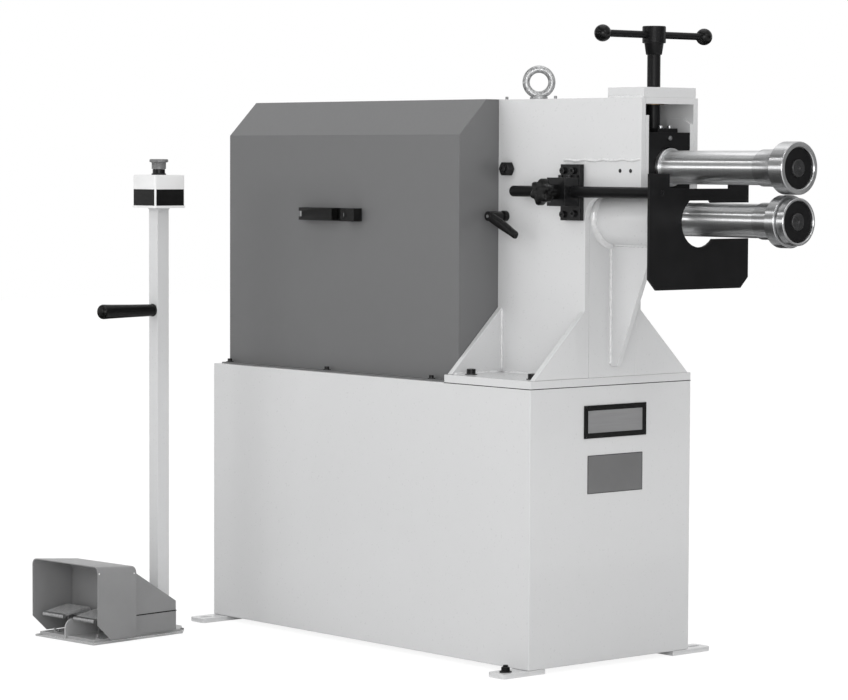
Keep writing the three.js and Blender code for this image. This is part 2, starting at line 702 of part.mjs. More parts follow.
function addGauge() {
  const { drop, rise, notchRoom, notchRise, corner, topChamfer } = gauge;
  const half = rodOut + gauge.side;
  const notch = shafts.diameter / 2 + notchRoom;
  const level = (height) => height + drop;
  const sheet = plateX([
    [-half, corner],
    [-half + corner, 0],
    [half - corner, 0],
    [half, corner],
    [half, level(rise) - topChamfer],
    [half - topChamfer, level(rise)],
    [notch, level(rise)],
    [notch, level(notchRise)],
    [-notch, level(notchRise)],
    [-notch, level(rise)],
    [-half, level(rise)],
  ], gauge.plate);
  const radius = shafts.diameter / 2 + gauge.holeRoom;
  const flat = gauge.holeTop;
  const topAngle = THREE.MathUtils.radToDeg(Math.asin((flat - topChamfer) / radius));
  const shoulderAt = Math.sqrt(radius ** 2 - (flat - topChamfer) ** 2) - topChamfer;
  const centre = level(-gauge.holeDrop);
  const hole = plateX([
    ...arc(0, centre, radius, 180 - topAngle, 360 + topAngle, 20),
    [shoulderAt, centre + flat],
    [-shoulderAt, centre + flat],
  ], gauge.plate + 2 * overrun).translate(-overrun, 0, 0);
  const slot = box(-overrun, 0, level(-gauge.slotDrop),
    gauge.plate + 2 * overrun, half + overrun, gauge.slotRise + gauge.slotDrop);
  piece(machine, 'stop_plate', cut(sheet, hole, slot), finishes.black, stopAt, 0, lowerAxis - drop);

  piece(machine, 'gauge_rod', rod(gauge.rod, headRear + gauge.tailInset, stopAt - seat, 'x', smallFacets),
    finishes.black, 0, -rodOut, rodHeight);
}

function addGaugeClamp() {
  const wall = -head.width / 2 - seat;
  const face = wall - bracket.thickness;
  const plate = box(0, -bracket.thickness, 0, bracket.width, bracket.thickness, bracket.height);
  const rear = headFront - bracket.frontInset;
  piece(machine, 'gauge_bracket', plate, finishes.black, rear, wall, rodHeight - bracket.drop);

  const middle = rear + bracket.width / 2;
  const blockFace = face - seat - clampBlock.depth;
  const lift = (clampBlock.height - gauge.rod) / 2;
  const body = cut(
    standing(clampBlock.width, clampBlock.depth, clampBlock.height, 0, clampBlock.depth / 2, 0),
    rod(clearBore(gauge.rod, running, smallFacets), -clampBlock.width, clampBlock.width, 'x', smallFacets)
      .translate(0, -rodOut - blockFace, lift + gauge.rod / 2),
    rod(clearBore(star.stud, running, smallFacets), -overrun, clampBlock.depth / 2, 'y', smallFacets)
      .translate(0, 0, clampBlock.height / 2),
  );
  const blockBottom = rodHeight - gauge.rod / 2 - lift;
  piece(machine, 'gauge_clamp_block', body, finishes.black, middle, blockFace, blockBottom);

  // A lobed knob on a hub, with a stud that runs through the clamp block to the rod
  const points = [];
  const steps = star.lobes * star.pointsPerLobe;
  for (let i = 0; i < steps; i++) {
    const angle = (2 * Math.PI * i) / steps;
    const radius = star.diameter / 2 - (star.lobeDepth * (1 - Math.cos(star.lobes * angle))) / 2;
    points.push([radius * Math.cos(angle), radius * Math.sin(angle)]);
  }
  const knob = join(
    plateY(points, star.thickness).translate(0, -star.thickness, 0),
    rod(star.hub, -overrun, star.hubLength, 'y', smallFacets),
    rod(star.stud, 0, star.hubLength + seat + star.studLength, 'y', smallFacets),
  );
  piece(machine, 'star_knob', knob, finishes.plastic,
    middle, blockFace - seat - star.hubLength, rodHeight);
}

function addClampLever() {
  const { hub: width, hubLength, armLength, armWidth, armTip, armThickness, drop } = clampLever;
  const wall = -head.width / 2 - seat;
  const arm = plateY([
    [0, -armWidth / 2],
    ...arc(armLength, 0, armTip / 2, -90, 90, 6),
    [0, armWidth / 2],
  ], armThickness).rotateY(THREE.MathUtils.degToRad(drop)).translate(0, -hubLength, 0);
  const lever = cutSolid(
    join(rod(width, -hubLength, 0, 'y', smallFacets),
      rod(clampLever.collar, -clampLever.collarLength, 0, 'y', smallFacets), arm),
    rod(clearBore(clampLever.stud, running, smallFacets), -hubLength + clampLever.collarLength, overrun,
      'y', smallFacets),
  );
  piece(machine, 'clamp_lever', lever, finishes.plastic, rearHousingAt, wall, lowerAxis);
}

function addEyeBolt() {
  const section = (eye.outer - eye.hole) / 4;
  const middle = (eye.outer + eye.hole) / 4;
  const ring = new THREE.TorusGeometry(middle, section, 8, 20).rotateX(Math.PI / 2)
    .rotateZ(THREE.MathUtils.degToRad(eye.turn)).translate(0, 0, eye.outer / 2 + eye.rise);
  const bolt = join(
    ring,
    rod(eye.collar, seat, seat + eye.collarHeight, 'z', smallFacets),
    rod(eye.shank, seat - head.plate, seat + eye.collarHeight, 'z', smallFacets),
  );
  piece(machine, 'eye_bolt', bolt, finishes.zinc, eyeAt, 0, headTop);
}

function addGuard() {
  const { chamfer, sheet, flange } = guard;
  const high = guardTop - guardBase;
  const half = guardWidth / 2;
  const length = headRear - seat - guardRear;
  const section = (inset) => [
    [-half + inset, 0],
    [half - inset, 0],
    [half - inset, high - chamfer],
    [half - chamfer, high - inset],
    [-half + chamfer, high - inset],
    [-half + inset, high - chamfer],
  ];
  const flanges = standing(length, 2 * (half + flange), sheet, length / 2);
  const shell = cutSolid(
    join(plateX(section(0), length), flanges),
    plateX(section(sheet), length - 2 * sheet).translate(sheet, 0, -overrun),
    standing(length, 2 * insideHead, high - chamfer / 2, length, 0, -overrun),
  );
  piece(machine, 'guard_cover', shell, finishes.guardPaint, guardRear, 0, guardBase);
}

// The latch on the guard's side: a plate with a lock body at its front end, a spindle that turns about Y
// and a lever that first swings out of the plate about the spindle's upright pin
function addLatch() {
  const { inset, drop, length, height, plate, depth, lockBody } = latch;
  const { pivot, spindle, flange, leverReach, lever, wall, ear, pin, pinEnd } = latch;
  const rear = guardRear + inset;
  const middle = guardTop - drop;
  const face = -guardWidth / 2 - seat;
  const base = join(
    box(0, -plate, 0, length, plate, height),
    box(length - lockBody, -depth, 0, lockBody, depth, height),
  );
  piece(machine, 'latch_base', base, finishes.black, rear, face, middle - height / 2);

  const flangeFace = -plate - seat - flange;
  const leverFace = flangeFace - running;
  const pinFace = leverFace - lever / 2;
  const earBar = lever / 2;
  const swivel = join(
    rod(spindle, flangeFace, -plate - seat, 'y', smallFacets),
    box(-earBar / 2, pinFace, -ear / 2, earBar, flangeFace + overrun - pinFace, ear),
    rod(earBar, -ear / 2, ear / 2, 'z', smallFacets).translate(0, pinFace, 0),
    rod(pin, -height / 2 + pinEnd, height / 2 - pinEnd, 'z', smallFacets).translate(0, pinFace, 0),
  );
  piece(machine, 'latch_spindle', swivel, finishes.steel, rear + pivot, face, middle);

  const earRoom = ear + 2 * running;
  const channel = cutSolid(
    join(
      box(0, -lever / 2, -height / 2 + seat, leverReach, lever, height - 2 * seat),
      rod(lever, -height / 2 + seat, height / 2 - seat, 'z', smallFacets),
    ),
    box(-lever, -lever, -earRoom / 2, lever + earBar, 2 * lever, earRoom),
    box(lever, wall - lever / 2, wall - height / 2, leverReach - lever - wall, lever, height - 2 * wall),
    rod(clearBore(pin, running, smallFacets), -height / 2 + pinEnd - running, height / 2 - pinEnd + running,
      'z', smallFacets),
  );
  piece(machine, 'latch_handle', channel, finishes.black, rear + pivot, face + pinFace, middle);
}

function addDrive() {
  const { length, width, below, above, foot: footHeight } = gearbox;
  const standTop = lowerAxis - below - seat;
  const legHeight = standTop - cabinetTop - seat;
  const rear = gearboxFront - length;
  const { inset, width: standWidth, plate } = stand;
  const standLength = length - 2 * inset;
  const middle = gearboxFront - length / 2;
  const frame = cut(
    standing(standLength, standWidth, legHeight),
    standing(standLength + 2 * overrun, standWidth - 2 * plate, legHeight - 2 * plate, 0, 0, plate),
  );
  piece(machine, 'gearmotor_stand', frame, finishes.paint, middle, 0, cabinetTop + seat);

  const casing = cutSolid(
    join(
      box(0, -width / 2 + footHeight, -below, length, width - 2 * footHeight, below + above),
      box(0, -width / 2, -below, length, width, footHeight),
    ),
    rod(clearBore(shafts.inner, running), length - shafts.socketDepth - footHeight, length + overrun, 'x'),
  );
  piece(machine, 'gearbox', casing, finishes.motorPaint, rear, 0, lowerAxis);

  // Motor with cooling fins, a fan cowl at its rear end and a terminal box on top
  const { diameter, length: motorLength, cowl, cowlRise, fins, finHeight, finWidth } = motor;
  const core = diameter - 2 * finHeight;
  const parts = [rod(diameter + 2 * cowlRise, 0, cowl, 'x')];
  for (let i = 0; i < fins / 2; i++) {
    parts.push(new THREE.BoxGeometry(motorLength - cowl, finWidth, diameter)
      .translate((motorLength + cowl) / 2, 0, 0).rotateX((Math.PI * i * 2) / fins));
  }
  const boxRise = motor.boxHeight + core / 2;
  parts.push(standing(motor.boxLength, motor.boxWidth, boxRise, (motorLength + cowl) / 2, 0, 0));
  const body = join(rod(core, 0, motorLength, 'x'), ...parts);
  piece(machine, 'motor', body, finishes.motorPaint, rear - seat - motorLength, 0, lowerAxis);
}

// The pedal station stands by itself beside the cabinet, turned a little
const pedals = new THREE.Group();
pedals.position.set(station.fromRear - cabinet.length / 2, -cabinet.width / 2 - station.fromSide, 0);
pedals.rotation.z = THREE.MathUtils.degToRad(station.turn);
machine.add(pedals);
const trayTop = pedalBase.plate + pedalBase.tray;
const boxFront = hood.depth - pedalBox.overlap;
const boxBack = hood.depth + pedalBox.length;
const treadleRear = boxFront - treadle.pivotInset;
const postAt = boxBack + post.gap + post.size / 2;
const caseBottom = pedalBase.plate + seat + post.height + seat;
// The post with all that it carries is turned a little on the base
const mast = new THREE.Group();
mast.position.set(post.across, postAt, 0);
mast.rotation.z = THREE.MathUtils.degToRad(post.turn);
pedals.add(mast);

function addPedalBase() {
  const { side, front, behind, plate, inset, tray, cornerCut } = pedalBase;
  const half = hood.width / 2 - side;
  const back = postAt + post.size / 2 + behind;
  const edge = (shift) => [
    [-half + shift, shift - front],
    [half - shift, shift - front],
    [half - shift, back - cornerCut],
    [half - cornerCut, back - shift],
    [-half + shift, back - shift],
  ];
  // The divider stands along the middle, between the two treadles
  const fin = plateX([
    [divider.front, plate],
    [boxFront - 2 * seat, plate],
    [boxFront - 2 * seat, trayTop + divider.height],
    ...arc(divider.front + divider.round, trayTop + divider.height - divider.round,
      divider.round, 90, 180, 5),
  ], divider.thickness).translate(-divider.thickness / 2, 0, 0);
  const socketSize = post.size + 2 * seat;
  const socket = standing(socketSize, socketSize, tray + overrun)
    .rotateZ(THREE.MathUtils.degToRad(post.turn)).translate(post.across, postAt, plate);
  const base = cutSolid(join(plateZ(edge(0), plate),
    plateZ(edge(inset), tray).translate(0, 0, plate), fin), socket);
  piece(pedals, 'pedal_base', base, finishes.hoodPaint);
}

// An arched sheet with its two lower front corners cut off
function addHood() {
  const { width, depth, top, bottom, sheet, bend, cutHeight, cutLength } = hood;
  const half = width / 2;
  const high = top - bottom;
  const arch = (inset, low) => [
    [-half + inset, low],
    [half - inset, low],
    ...arc(half - bend, high - bend, bend - inset, 0, 90, 4),
    ...arc(-half + bend, high - bend, bend - inset, 90, 180, 4),
  ];
  const corner = plateX([
    [-overrun, -overrun],
    [cutLength, -overrun],
    [cutLength, 0],
    [0, cutHeight],
    [-overrun, cutHeight],
  ], width + 2 * overrun).translate(-half - overrun, 0, 0);
  const cover = shape(cut(
    plateY(arch(0, 0), depth),
    plateY(arch(sheet, -overrun), depth + 2 * overrun).translate(0, -overrun, 0),
    corner,
  ));
  // The top falls and the left wall comes in towards the rear
  const place = cover.attributes.position;
  for (let i = 0; i < place.count; i++) {
    const along = place.getY(i) / depth;
    if (place.getX(i) < 0) place.setX(i, place.getX(i) + along * hood.rearTaper);
    if (place.getZ(i) > cutHeight) place.setZ(i, place.getZ(i) - along * hood.rearDrop);
  }
  piece(pedals, 'pedal_guard', cover, finishes.hoodPaint, 0, 0, bottom);
}

// The box behind the hood: a lower casing and a slanted cover, with a seal between them
function addPedalBox() {
  const { seam, topDrop, backRise } = pedalBox;
  const width = hood.width - 2 * hood.sheet - 2 * pedalBox.inset;
  const level = trayTop + seat;
  const casing = box(-width / 2, boxFront, level, width, boxBack - boxFront, seam - level);
  const { ear, earReach, pivotInset, pin, pivotHeight, inner } = treadle;
  const ears = [];
  for (const across of [-1, 1]) {
    for (const edge of [inner - running - ear, inner + treadle.width + running]) {
      const middle = across * (edge + ear / 2);
      const earLength = pivotInset + earReach + overrun;
      ears.push(box(middle - ear / 2, treadleRear - earReach, level, ear, earLength, seam - level));
    }
  }
  const pinHole = rod(clearBore(pin, running, smallFacets), -width, width, 'x', smallFacets)
    .translate(0, treadleRear, pivotHeight);
  const lower = cutSolid(join(casing, ...ears), pinHole);
  piece(pedals, 'pedal_box', lower, finishes.hoodPaint);
  const upper = plateX([
    [boxFront, seam + seat],
    [boxBack, seam + seat],
    [boxBack, seam + backRise],
    [hood.depth + seat, hood.top - topDrop],
    [boxFront, hood.top - topDrop],
  ], width).translate(-width / 2, 0, 0);
  piece(pedals, 'pedal_cover', upper, finishes.hoodPaint);
}

function addTreadles() {
  const { inner, front, lipHeight, lip, crown, crownInset } = treadle;
  const { pivotHeight, plate, pin, tail } = treadle;
  const { width } = treadle;
  const rear = treadleRear;
  const crownAt = rear - crownInset;
  const middle = (front + crownAt) / 2;
  const pinReach = running + treadle.ear;
  const side = [
    [front, lipHeight],
    [front + lip, lipHeight],
    [middle, crown - lip - plate],
    [crownAt, crown - plate],
    [rear, tail - plate / 2],
    [rear, tail + plate / 2],
    [crownAt, crown],
    [middle, crown - lip / 2],
    [front, lipHeight + lip],
  ];
  const body = join(
    plateX(side.map(([y, z]) => [y - rear, z - pivotHeight]), width).translate(-width / 2, 0, 0),
    rod(pin, -width / 2 - pinReach, width / 2 + pinReach, 'x', smallFacets),
  );
  for (const [name, across] of [['left', -1], ['right', 1]]) {
    piece(pedals, `treadle_${name}`, body, finishes.zinc, across * (inner + width / 2), rear, pivotHeight);
  }
}

function addPost() {
  const bottom = pedalBase.plate + seat;
  const hollow = post.size - 2 * post.wall;
  const tube = cut(
    standing(post.size, post.size, post.height),
    standing(hollow, hollow, post.height + 2 * overrun, 0, 0, -overrun),
    rod(clearBore(grip.stud, seat, smallFacets), -post.size, 0, 'y', smallFacets)
      .translate(0, 0, grip.height - bottom),
  );
  piece(mast, 'post', tube, finishes.paint, 0, 0, bottom);

  const handle = join(
    turned([
      [-grip.length, grip.tip * grip.endShare],
      [-grip.length + (grip.tip * (1 - grip.endShare)) / 2, grip.tip],
      [0, grip.diameter],
    ], 'y', smallFacets),
    rod(grip.stud, -overrun, grip.studDepth, 'y', smallFacets),
  );
  piece(mast, 'carry_grip', handle, finishes.plastic, 0, -post.size / 2 - seat, grip.height);
}

function addStopSwitch() {
  const { size, flange, flangeRise, height, corner } = stopCase;
  const rounded = (across) => {
    const reach = across / 2 - corner;
    return [
      ...arc(reach, reach, corner, 0, 90, 3),
      ...arc(-reach, reach, corner, 90, 180, 3),
      ...arc(-reach, -reach, corner, 180, 270, 3),
      ...arc(reach, -reach, corner, 270, 360, 3),
    ];
  };
  const { collar: ringSize, collarHeight, neck, stem, bore, hold } = stopButton;
  const total = flange + height;
  const depth = hold + collarHeight;
  const casing = cutSolid(
    join(plateZ(rounded(size + 2 * flangeRise), flange), plateZ(rounded(size), total),
      rod(ringSize, total - overrun, total + collarHeight / 2, 'z'),
      rod(neck, total - overrun, total + collarHeight, 'z')),
    rod(clearBore(stem), total - 2 * depth, total + collarHeight + overrun, 'z'),
  );
  piece(mast, 'estop_case', casing, finishes.paint, 0, 0, caseBottom);

  // The button turns on its stem, and the stem slides in the case
  const stemBottom = caseBottom + total - depth;
  const buttonBottom = caseBottom + total + collarHeight + stopButton.clearance;
  const stemTop = buttonBottom + bore;
  const shaft = rod(stem, 0, stemTop - stemBottom, 'z', smallFacets);
  piece(mast, 'estop_stem', shaft, finishes.black, 0, 0, stemBottom);
  const body = cut(
    turned([
      [0, stopButton.body],
      [stopButton.bodyHeight, stopButton.body],
      [stopButton.bodyHeight, stopButton.flange],
      [stopButton.bodyHeight + stopButton.flangeHeight, stopButton.flange],
    ], 'z'),
    rod(clearBore(stem), -overrun, bore + seat, 'z'),
  );
  piece(mast, 'estop_button', body, finishes.buttonGrey, 0, 0, buttonBottom);
}

addCabinet();
addFeet();
addBasePlate();
addHead();
addLowerBearings();
drillSidePlates();
addPivotBolts();
addSwing();
addLowerShaft();
addUpperShaft();
addSlideBlock();
addScrew();
addGauge();
addGaugeClamp();
addClampLever();
addEyeBolt();
addGuard();
addLatch();
addDrive();
addPedalBase();
addHood();
addPedalBox();
addTreadles();
addPost();
addStopSwitch();

// The origin goes to the middle of the whole part at floor level
const whole = new THREE.Group();
whole.add(machine);
machine.updateMatrixWorld(true);
const bounds = new THREE.Box3().setFromObject(machine, true);
const centre = bounds.getCenter(new THREE.Vector3());
machine.position.set(-centre.x, -centre.y, -bounds.min.z);

export default whole;
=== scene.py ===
"""Looks of the electric bead roller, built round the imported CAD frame. Metres, in the frame's own axes."""

import json
import math

import bmesh
import bpy
from mathutils import Matrix, Vector


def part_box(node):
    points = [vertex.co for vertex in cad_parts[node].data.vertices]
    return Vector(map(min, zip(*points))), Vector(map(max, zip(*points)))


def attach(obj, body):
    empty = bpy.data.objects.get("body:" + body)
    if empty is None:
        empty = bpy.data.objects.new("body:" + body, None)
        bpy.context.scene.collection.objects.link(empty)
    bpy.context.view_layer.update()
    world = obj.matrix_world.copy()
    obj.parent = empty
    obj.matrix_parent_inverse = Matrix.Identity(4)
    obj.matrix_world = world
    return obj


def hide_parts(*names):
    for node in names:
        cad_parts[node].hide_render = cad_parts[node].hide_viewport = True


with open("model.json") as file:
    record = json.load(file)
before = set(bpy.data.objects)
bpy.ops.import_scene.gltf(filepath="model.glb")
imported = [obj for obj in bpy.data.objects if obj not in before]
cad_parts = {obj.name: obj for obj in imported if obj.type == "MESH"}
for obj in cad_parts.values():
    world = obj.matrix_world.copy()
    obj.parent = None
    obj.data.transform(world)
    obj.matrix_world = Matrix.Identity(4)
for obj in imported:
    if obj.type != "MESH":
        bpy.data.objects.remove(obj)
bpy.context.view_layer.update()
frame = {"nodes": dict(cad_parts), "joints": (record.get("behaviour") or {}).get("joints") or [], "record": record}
nodes = frame["nodes"]
MM = 0.001
QUARTER = math.pi / 2
X, Y, Z = Vector((1, 0, 0)), Vector((0, 1, 0)), Vector((0, 0, 1))


def mid(name):
    low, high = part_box(name)
    return (low + high) / 2


def joint_place(name):
    return Vector(next(joint for joint in frame["joints"] if joint["name"] == name)["pos_m"])


# ---- camera and lamps

PHOTO_WIDTH = 848
FOCAL_PX = 3177.87
SENSOR = 36.0
CAMERA_TO_ROLLS = Vector((4.0201, -4.3991))  # from the middle of the roll fronts, in plan
CAMERA_HEIGHT = 1.0077
CAMERA_TURN = ((0.65401, 0.756475, 0.003998), (-0.048177, 0.036376, 0.998176), (-0.75495, 0.65301, -0.060235))
LAMPS = (
    # Name, place, aim, size and watts
    ("key", (-2.3, -5.6, 2.3), (0, 0, 0.7), (3.2, 3.2), 56),
    ("line", (-0.6, -3.9, 3.9), (0.2, 0.1, 0.9), (3.0, 0.22), 18),
    ("fill", (4.2, -3.4, 1.3), (0, 0, 0.6), (2.4, 1.8), 68),
    ("fill_strip", (3.6, -0.4, 2.9), (0.4, 0.1, 0.9), (0.2, 1.2), 9),
    ("top", (0.2, 0.2, 4.2), (0, 0, 0), (4.0, 2.6), 34),
)


def make_camera():
    data = bpy.data.cameras.new("camera")
    data.sensor_width = SENSOR
    data.lens = FOCAL_PX * SENSOR / PHOTO_WIDTH
    data.clip_end = 60
    camera = bpy.data.objects.new("camera", data)
    bpy.context.scene.collection.objects.link(camera)
    right, up, ahead = (Vector(row) for row in CAMERA_TURN)
    turn = Matrix((right, up, -ahead)).transposed().to_4x4()
    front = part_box("upper_roll")[1].x
    place = Vector((front + CAMERA_TO_ROLLS.x, mid("upper_roll_cap").y + CAMERA_TO_ROLLS.y, CAMERA_HEIGHT))
    camera.matrix_world = Matrix.Translation(place) @ turn
    bpy.context.scene.camera = camera


def make_lamps():
    for name, place, aim, size, watts in LAMPS:
        data = bpy.data.lights.new(name, "AREA")
        data.energy = watts
        data.shape = "RECTANGLE"
        data.size, data.size_y = size
        item = bpy.data.objects.new(name, data)
        bpy.context.scene.collection.objects.link(item)
        way = Vector(aim) - Vector(place)
        item.matrix_world = Matrix.Translation(place) @ way.to_track_quat("-Z", "Y").to_matrix().to_4x4()


# ---- world and stage

WHITE = (1, 1, 1, 1)
WORLD_LEVEL = 0.72
FLOOR_REACH = 14
FLOOR_COLOUR = (0.82, 0.82, 0.82, 1)
FLOOR_GLOW = 1.12
FLOOR_SHARE = 0.8  # of the glow in what the camera and reflections see; the rest keeps the shadow
CARD_DISTANCE = 5
CARD_AXIS = (0.19, 0.95)  # Y and Z of the line that the slats stand round
SLAT_ENDS = (-14, 6)
SLATS = (
    # Angle above the horizontal as seen from the shafts, from and to, and the shade
    (9, 31, 0.2), (40, 59, 0.16), (59, 70, 0.6), (70, 84, 0.28), (101, 150, 0.75),
)
FLOOR_CARD_ENDS = (-13, 1.4)
FLOOR_CARD_LEVEL = 0.004
FLOOR_CARDS = ((-13, -3.4, 0.15), (-3.4, -2, 0.09), (-2, 13, 0.05))  # Y from and to, and the shade
END_CARD = ([(6.2, 1.6, 0), (2.6, 5.2, 0), (2.6, 5.2, 2.4), (6.2, 1.6, 2.4)], 0.12)


def add(tree, kind, **inputs):
    """A new shader node with some of its inputs set."""
    node = tree.nodes.new("ShaderNode" + kind)
    for name, value in inputs.items():
        node.inputs[name].default_value = value
    return node


def backdrop_rays(tree):
    """Light Path's camera, glossy and transmission rays as one factor."""
    rays = add(tree, "LightPath").outputs
    factor = rays["Is Camera Ray"]
    for other in ("Is Glossy Ray", "Is Transmission Ray"):
        either = add(tree, "Math")
        either.operation = "MAXIMUM"
        tree.links.new(factor, either.inputs[0])
        tree.links.new(rays[other], either.inputs[1])
        factor = either.outputs[0]
    return factor


def end_in_mix(tree, output, factor, first, second):
    """Ends the tree in a mix of two shaders."""
    mix = add(tree, "MixShader")
    for source, socket in zip((factor, first.outputs[0], second.outputs[0]), mix.inputs):
        tree.links.new(source, socket)
    tree.links.new(mix.outputs[0], add(tree, output).inputs[0])


def make_world():
    world = bpy.data.worlds.new("studio")
    bpy.context.scene.world = world
    world.use_nodes = True
    tree = world.node_tree
    tree.nodes.clear()
    lit = add(tree, "Background", Color=WHITE, Strength=WORLD_LEVEL)
    shown = add(tree, "Background", Color=WHITE)
    end_in_mix(tree, "OutputWorld", backdrop_rays(tree), lit, shown)


def panel(name, corners):
    """A flat piece of the stage with one empty material, whose node tree it returns."""
    mesh = bpy.data.meshes.new(name)
    mesh.from_pydata([Vector(c) for c in corners], [], [(0, 1, 2, 3)])
    item = bpy.data.objects.new(name, mesh)
    bpy.context.scene.collection.objects.link(item)
    material = bpy.data.materials.new(name)
    material.use_nodes = True
    material.node_tree.nodes.clear()
    mesh.materials.append(material)
    return material.node_tree


def make_floor():
    low, high = -FLOOR_REACH, FLOOR_REACH
    tree = panel("floor", [(low, low, 0), (high, low, 0), (high, high, 0), (low, high, 0)])
    plain = add(tree, "BsdfDiffuse", Color=FLOOR_COLOUR)
    glow = add(tree, "Emission", Color=WHITE, Strength=FLOOR_GLOW)
    share = add(tree, "Math")
    share.operation = "MULTIPLY"
    share.inputs[1].default_value = FLOOR_SHARE
    tree.links.new(backdrop_rays(tree), share.inputs[0])
    end_in_mix(tree, "OutputMaterial", share.outputs[0], plain, glow)


def card(name, corners, shade):
    """A studio card beside the set that shows in reflections alone."""
    tree = panel(name, corners)
    clear = add(tree, "BsdfTransparent")
    tone = add(tree, "Emission", Color=(shade, shade, shade, 1))
    end_in_mix(tree, "OutputMaterial", add(tree, "LightPath").outputs["Is Glossy Ray"], clear, tone)


def make_cards():
    """Long cards beside the set, as a product studio has them, so that the shafts show dark and light lines."""
    x0, x1 = SLAT_ENDS
    for low, high, shade in SLATS:
        (y0, z0), (y1, z1) = [(CARD_AXIS[0] - CARD_DISTANCE * math.cos(a), CARD_AXIS[1] + CARD_DISTANCE * math.sin(a))
                              for a in (math.radians(low), math.radians(high))]
        card(f"slat_{low}", [(x0, y0, z0), (x1, y0, z0), (x1, y1, z1), (x0, y1, z1)], shade)
    x0, x1 = FLOOR_CARD_ENDS
    z = FLOOR_CARD_LEVEL
    for i, (y0, y1, shade) in enumerate(FLOOR_CARDS):
        card(f"floor_card_{i}", [(x0, y0, z), (x1, y0, z), (x1, y1, z), (x0, y1, z)], shade)
    card("end_card", *END_CARD)


# ---- materials

COAT_ROUGHNESS = 0.05
BUMP_DEPTH = 0.0005
EDGE_COSINES = (0.75, 0.97)  # between the bevelled and the true normal, at an edge and away from it


def surface(name, colour, roughness, metallic, mottle, mottle_scale, grain, grain_scale, spread=0.05,
            stretch=(1, 1, 1), edge=None, specular=0.5, coat=0.0, ground=0.0):
    """A procedural finish: a mottled colour, uneven gloss, a fine bump and, where edge is given, lighter edges: a
    painted highlight, which on the black finishes also stands for wear.

    edge holds the strength of that edge light, its width in mm and its grey level."""
    material = bpy.data.materials.new(name)
    material.use_nodes = True
    tree = material.node_tree
    link = tree.links.new
    shader = tree.nodes["Principled BSDF"]
    for socket, value in (("Metallic", metallic), ("Specular IOR Level", specular), ("Coat Weight", coat),
                          ("Coat Roughness", COAT_ROUGHNESS)):
        shader.inputs[socket].default_value = value
    if ground:
        # Ground round the X axis: highlights draw out along the shaft
        shader.inputs["Anisotropic"].default_value = ground
        shader.inputs["Anisotropic Rotation"].default_value = 0.25
        tangent = add(tree, "Tangent")
        tangent.direction_type = "RADIAL"
        tangent.axis = "X"
        link(tangent.outputs[0], shader.inputs["Tangent"])
    scaled = add(tree, "Mapping", Scale=stretch)
    link(add(tree, "TexCoord").outputs["Object"], scaled.inputs["Vector"])

    def noise(scale, detail=3.0):
        node = add(tree, "TexNoise", Scale=scale, Detail=detail)
        link(scaled.outputs[0], node.inputs["Vector"])
        return node.outputs["Fac"]

    def blend(factor, first, second):
        """A mix of two colours; the first may be a node's output."""
        node = tree.nodes.new("ShaderNodeMix")
        node.data_type = "RGBA"
        link(factor, node.inputs["Factor"])
        if isinstance(first, tuple):
            node.inputs["A"].default_value = (*first, 1)
        else:
            link(first, node.inputs["A"])
        node.inputs["B"].default_value = (*second, 1)
        return node.outputs["Result"]

    def spread_out(factor, low, high, from_low=0.3, from_high=0.7):
        node = tree.nodes.new("ShaderNodeMapRange")
        link(factor, node.inputs["Value"])
        for socket, value in (("From Min", from_low), ("From Max", from_high), ("To Min", low), ("To Max", high)):
            node.inputs[socket].default_value = value
        return node.outputs["Result"]

    darker = tuple(c * (1 - mottle) for c in colour)
    lighter = tuple(min(1, c * (1 + mottle)) for c in colour)
    tint = blend(spread_out(noise(mottle_scale), 0, 1), darker, lighter)
    if edge:
        # Where a bevelled normal leaves the true one there is an edge, and there the colour is painted lighter: a
        # painted highlight, and wear as well on the black finishes
        strength, width, highlight_and_wear_grey = edge
        round_off = add(tree, "Bevel", Radius=width * MM)
        round_off.samples = 4
        dot = add(tree, "VectorMath")
        dot.operation = "DOT_PRODUCT"
        link(round_off.outputs[0], dot.inputs[0])
        link(add(tree, "NewGeometry").outputs["Normal"], dot.inputs[1])
        tint = blend(spread_out(dot.outputs["Value"], strength, 0, *EDGE_COSINES), tint, (highlight_and_wear_grey, highlight_and_wear_grey, highlight_and_wear_grey))
    link(tint, shader.inputs["Base Color"])
    link(spread_out(noise(mottle_scale * 5), roughness - spread, roughness + spread), shader.inputs["Roughness"])
    bump = add(tree, "Bump", Strength=grain, Distance=BUMP_DEPTH)
    link(noise(grain_scale, 2.0), bump.inputs["Height"])
    link(bump.outputs[0], shader.inputs["Normal"])
    return material


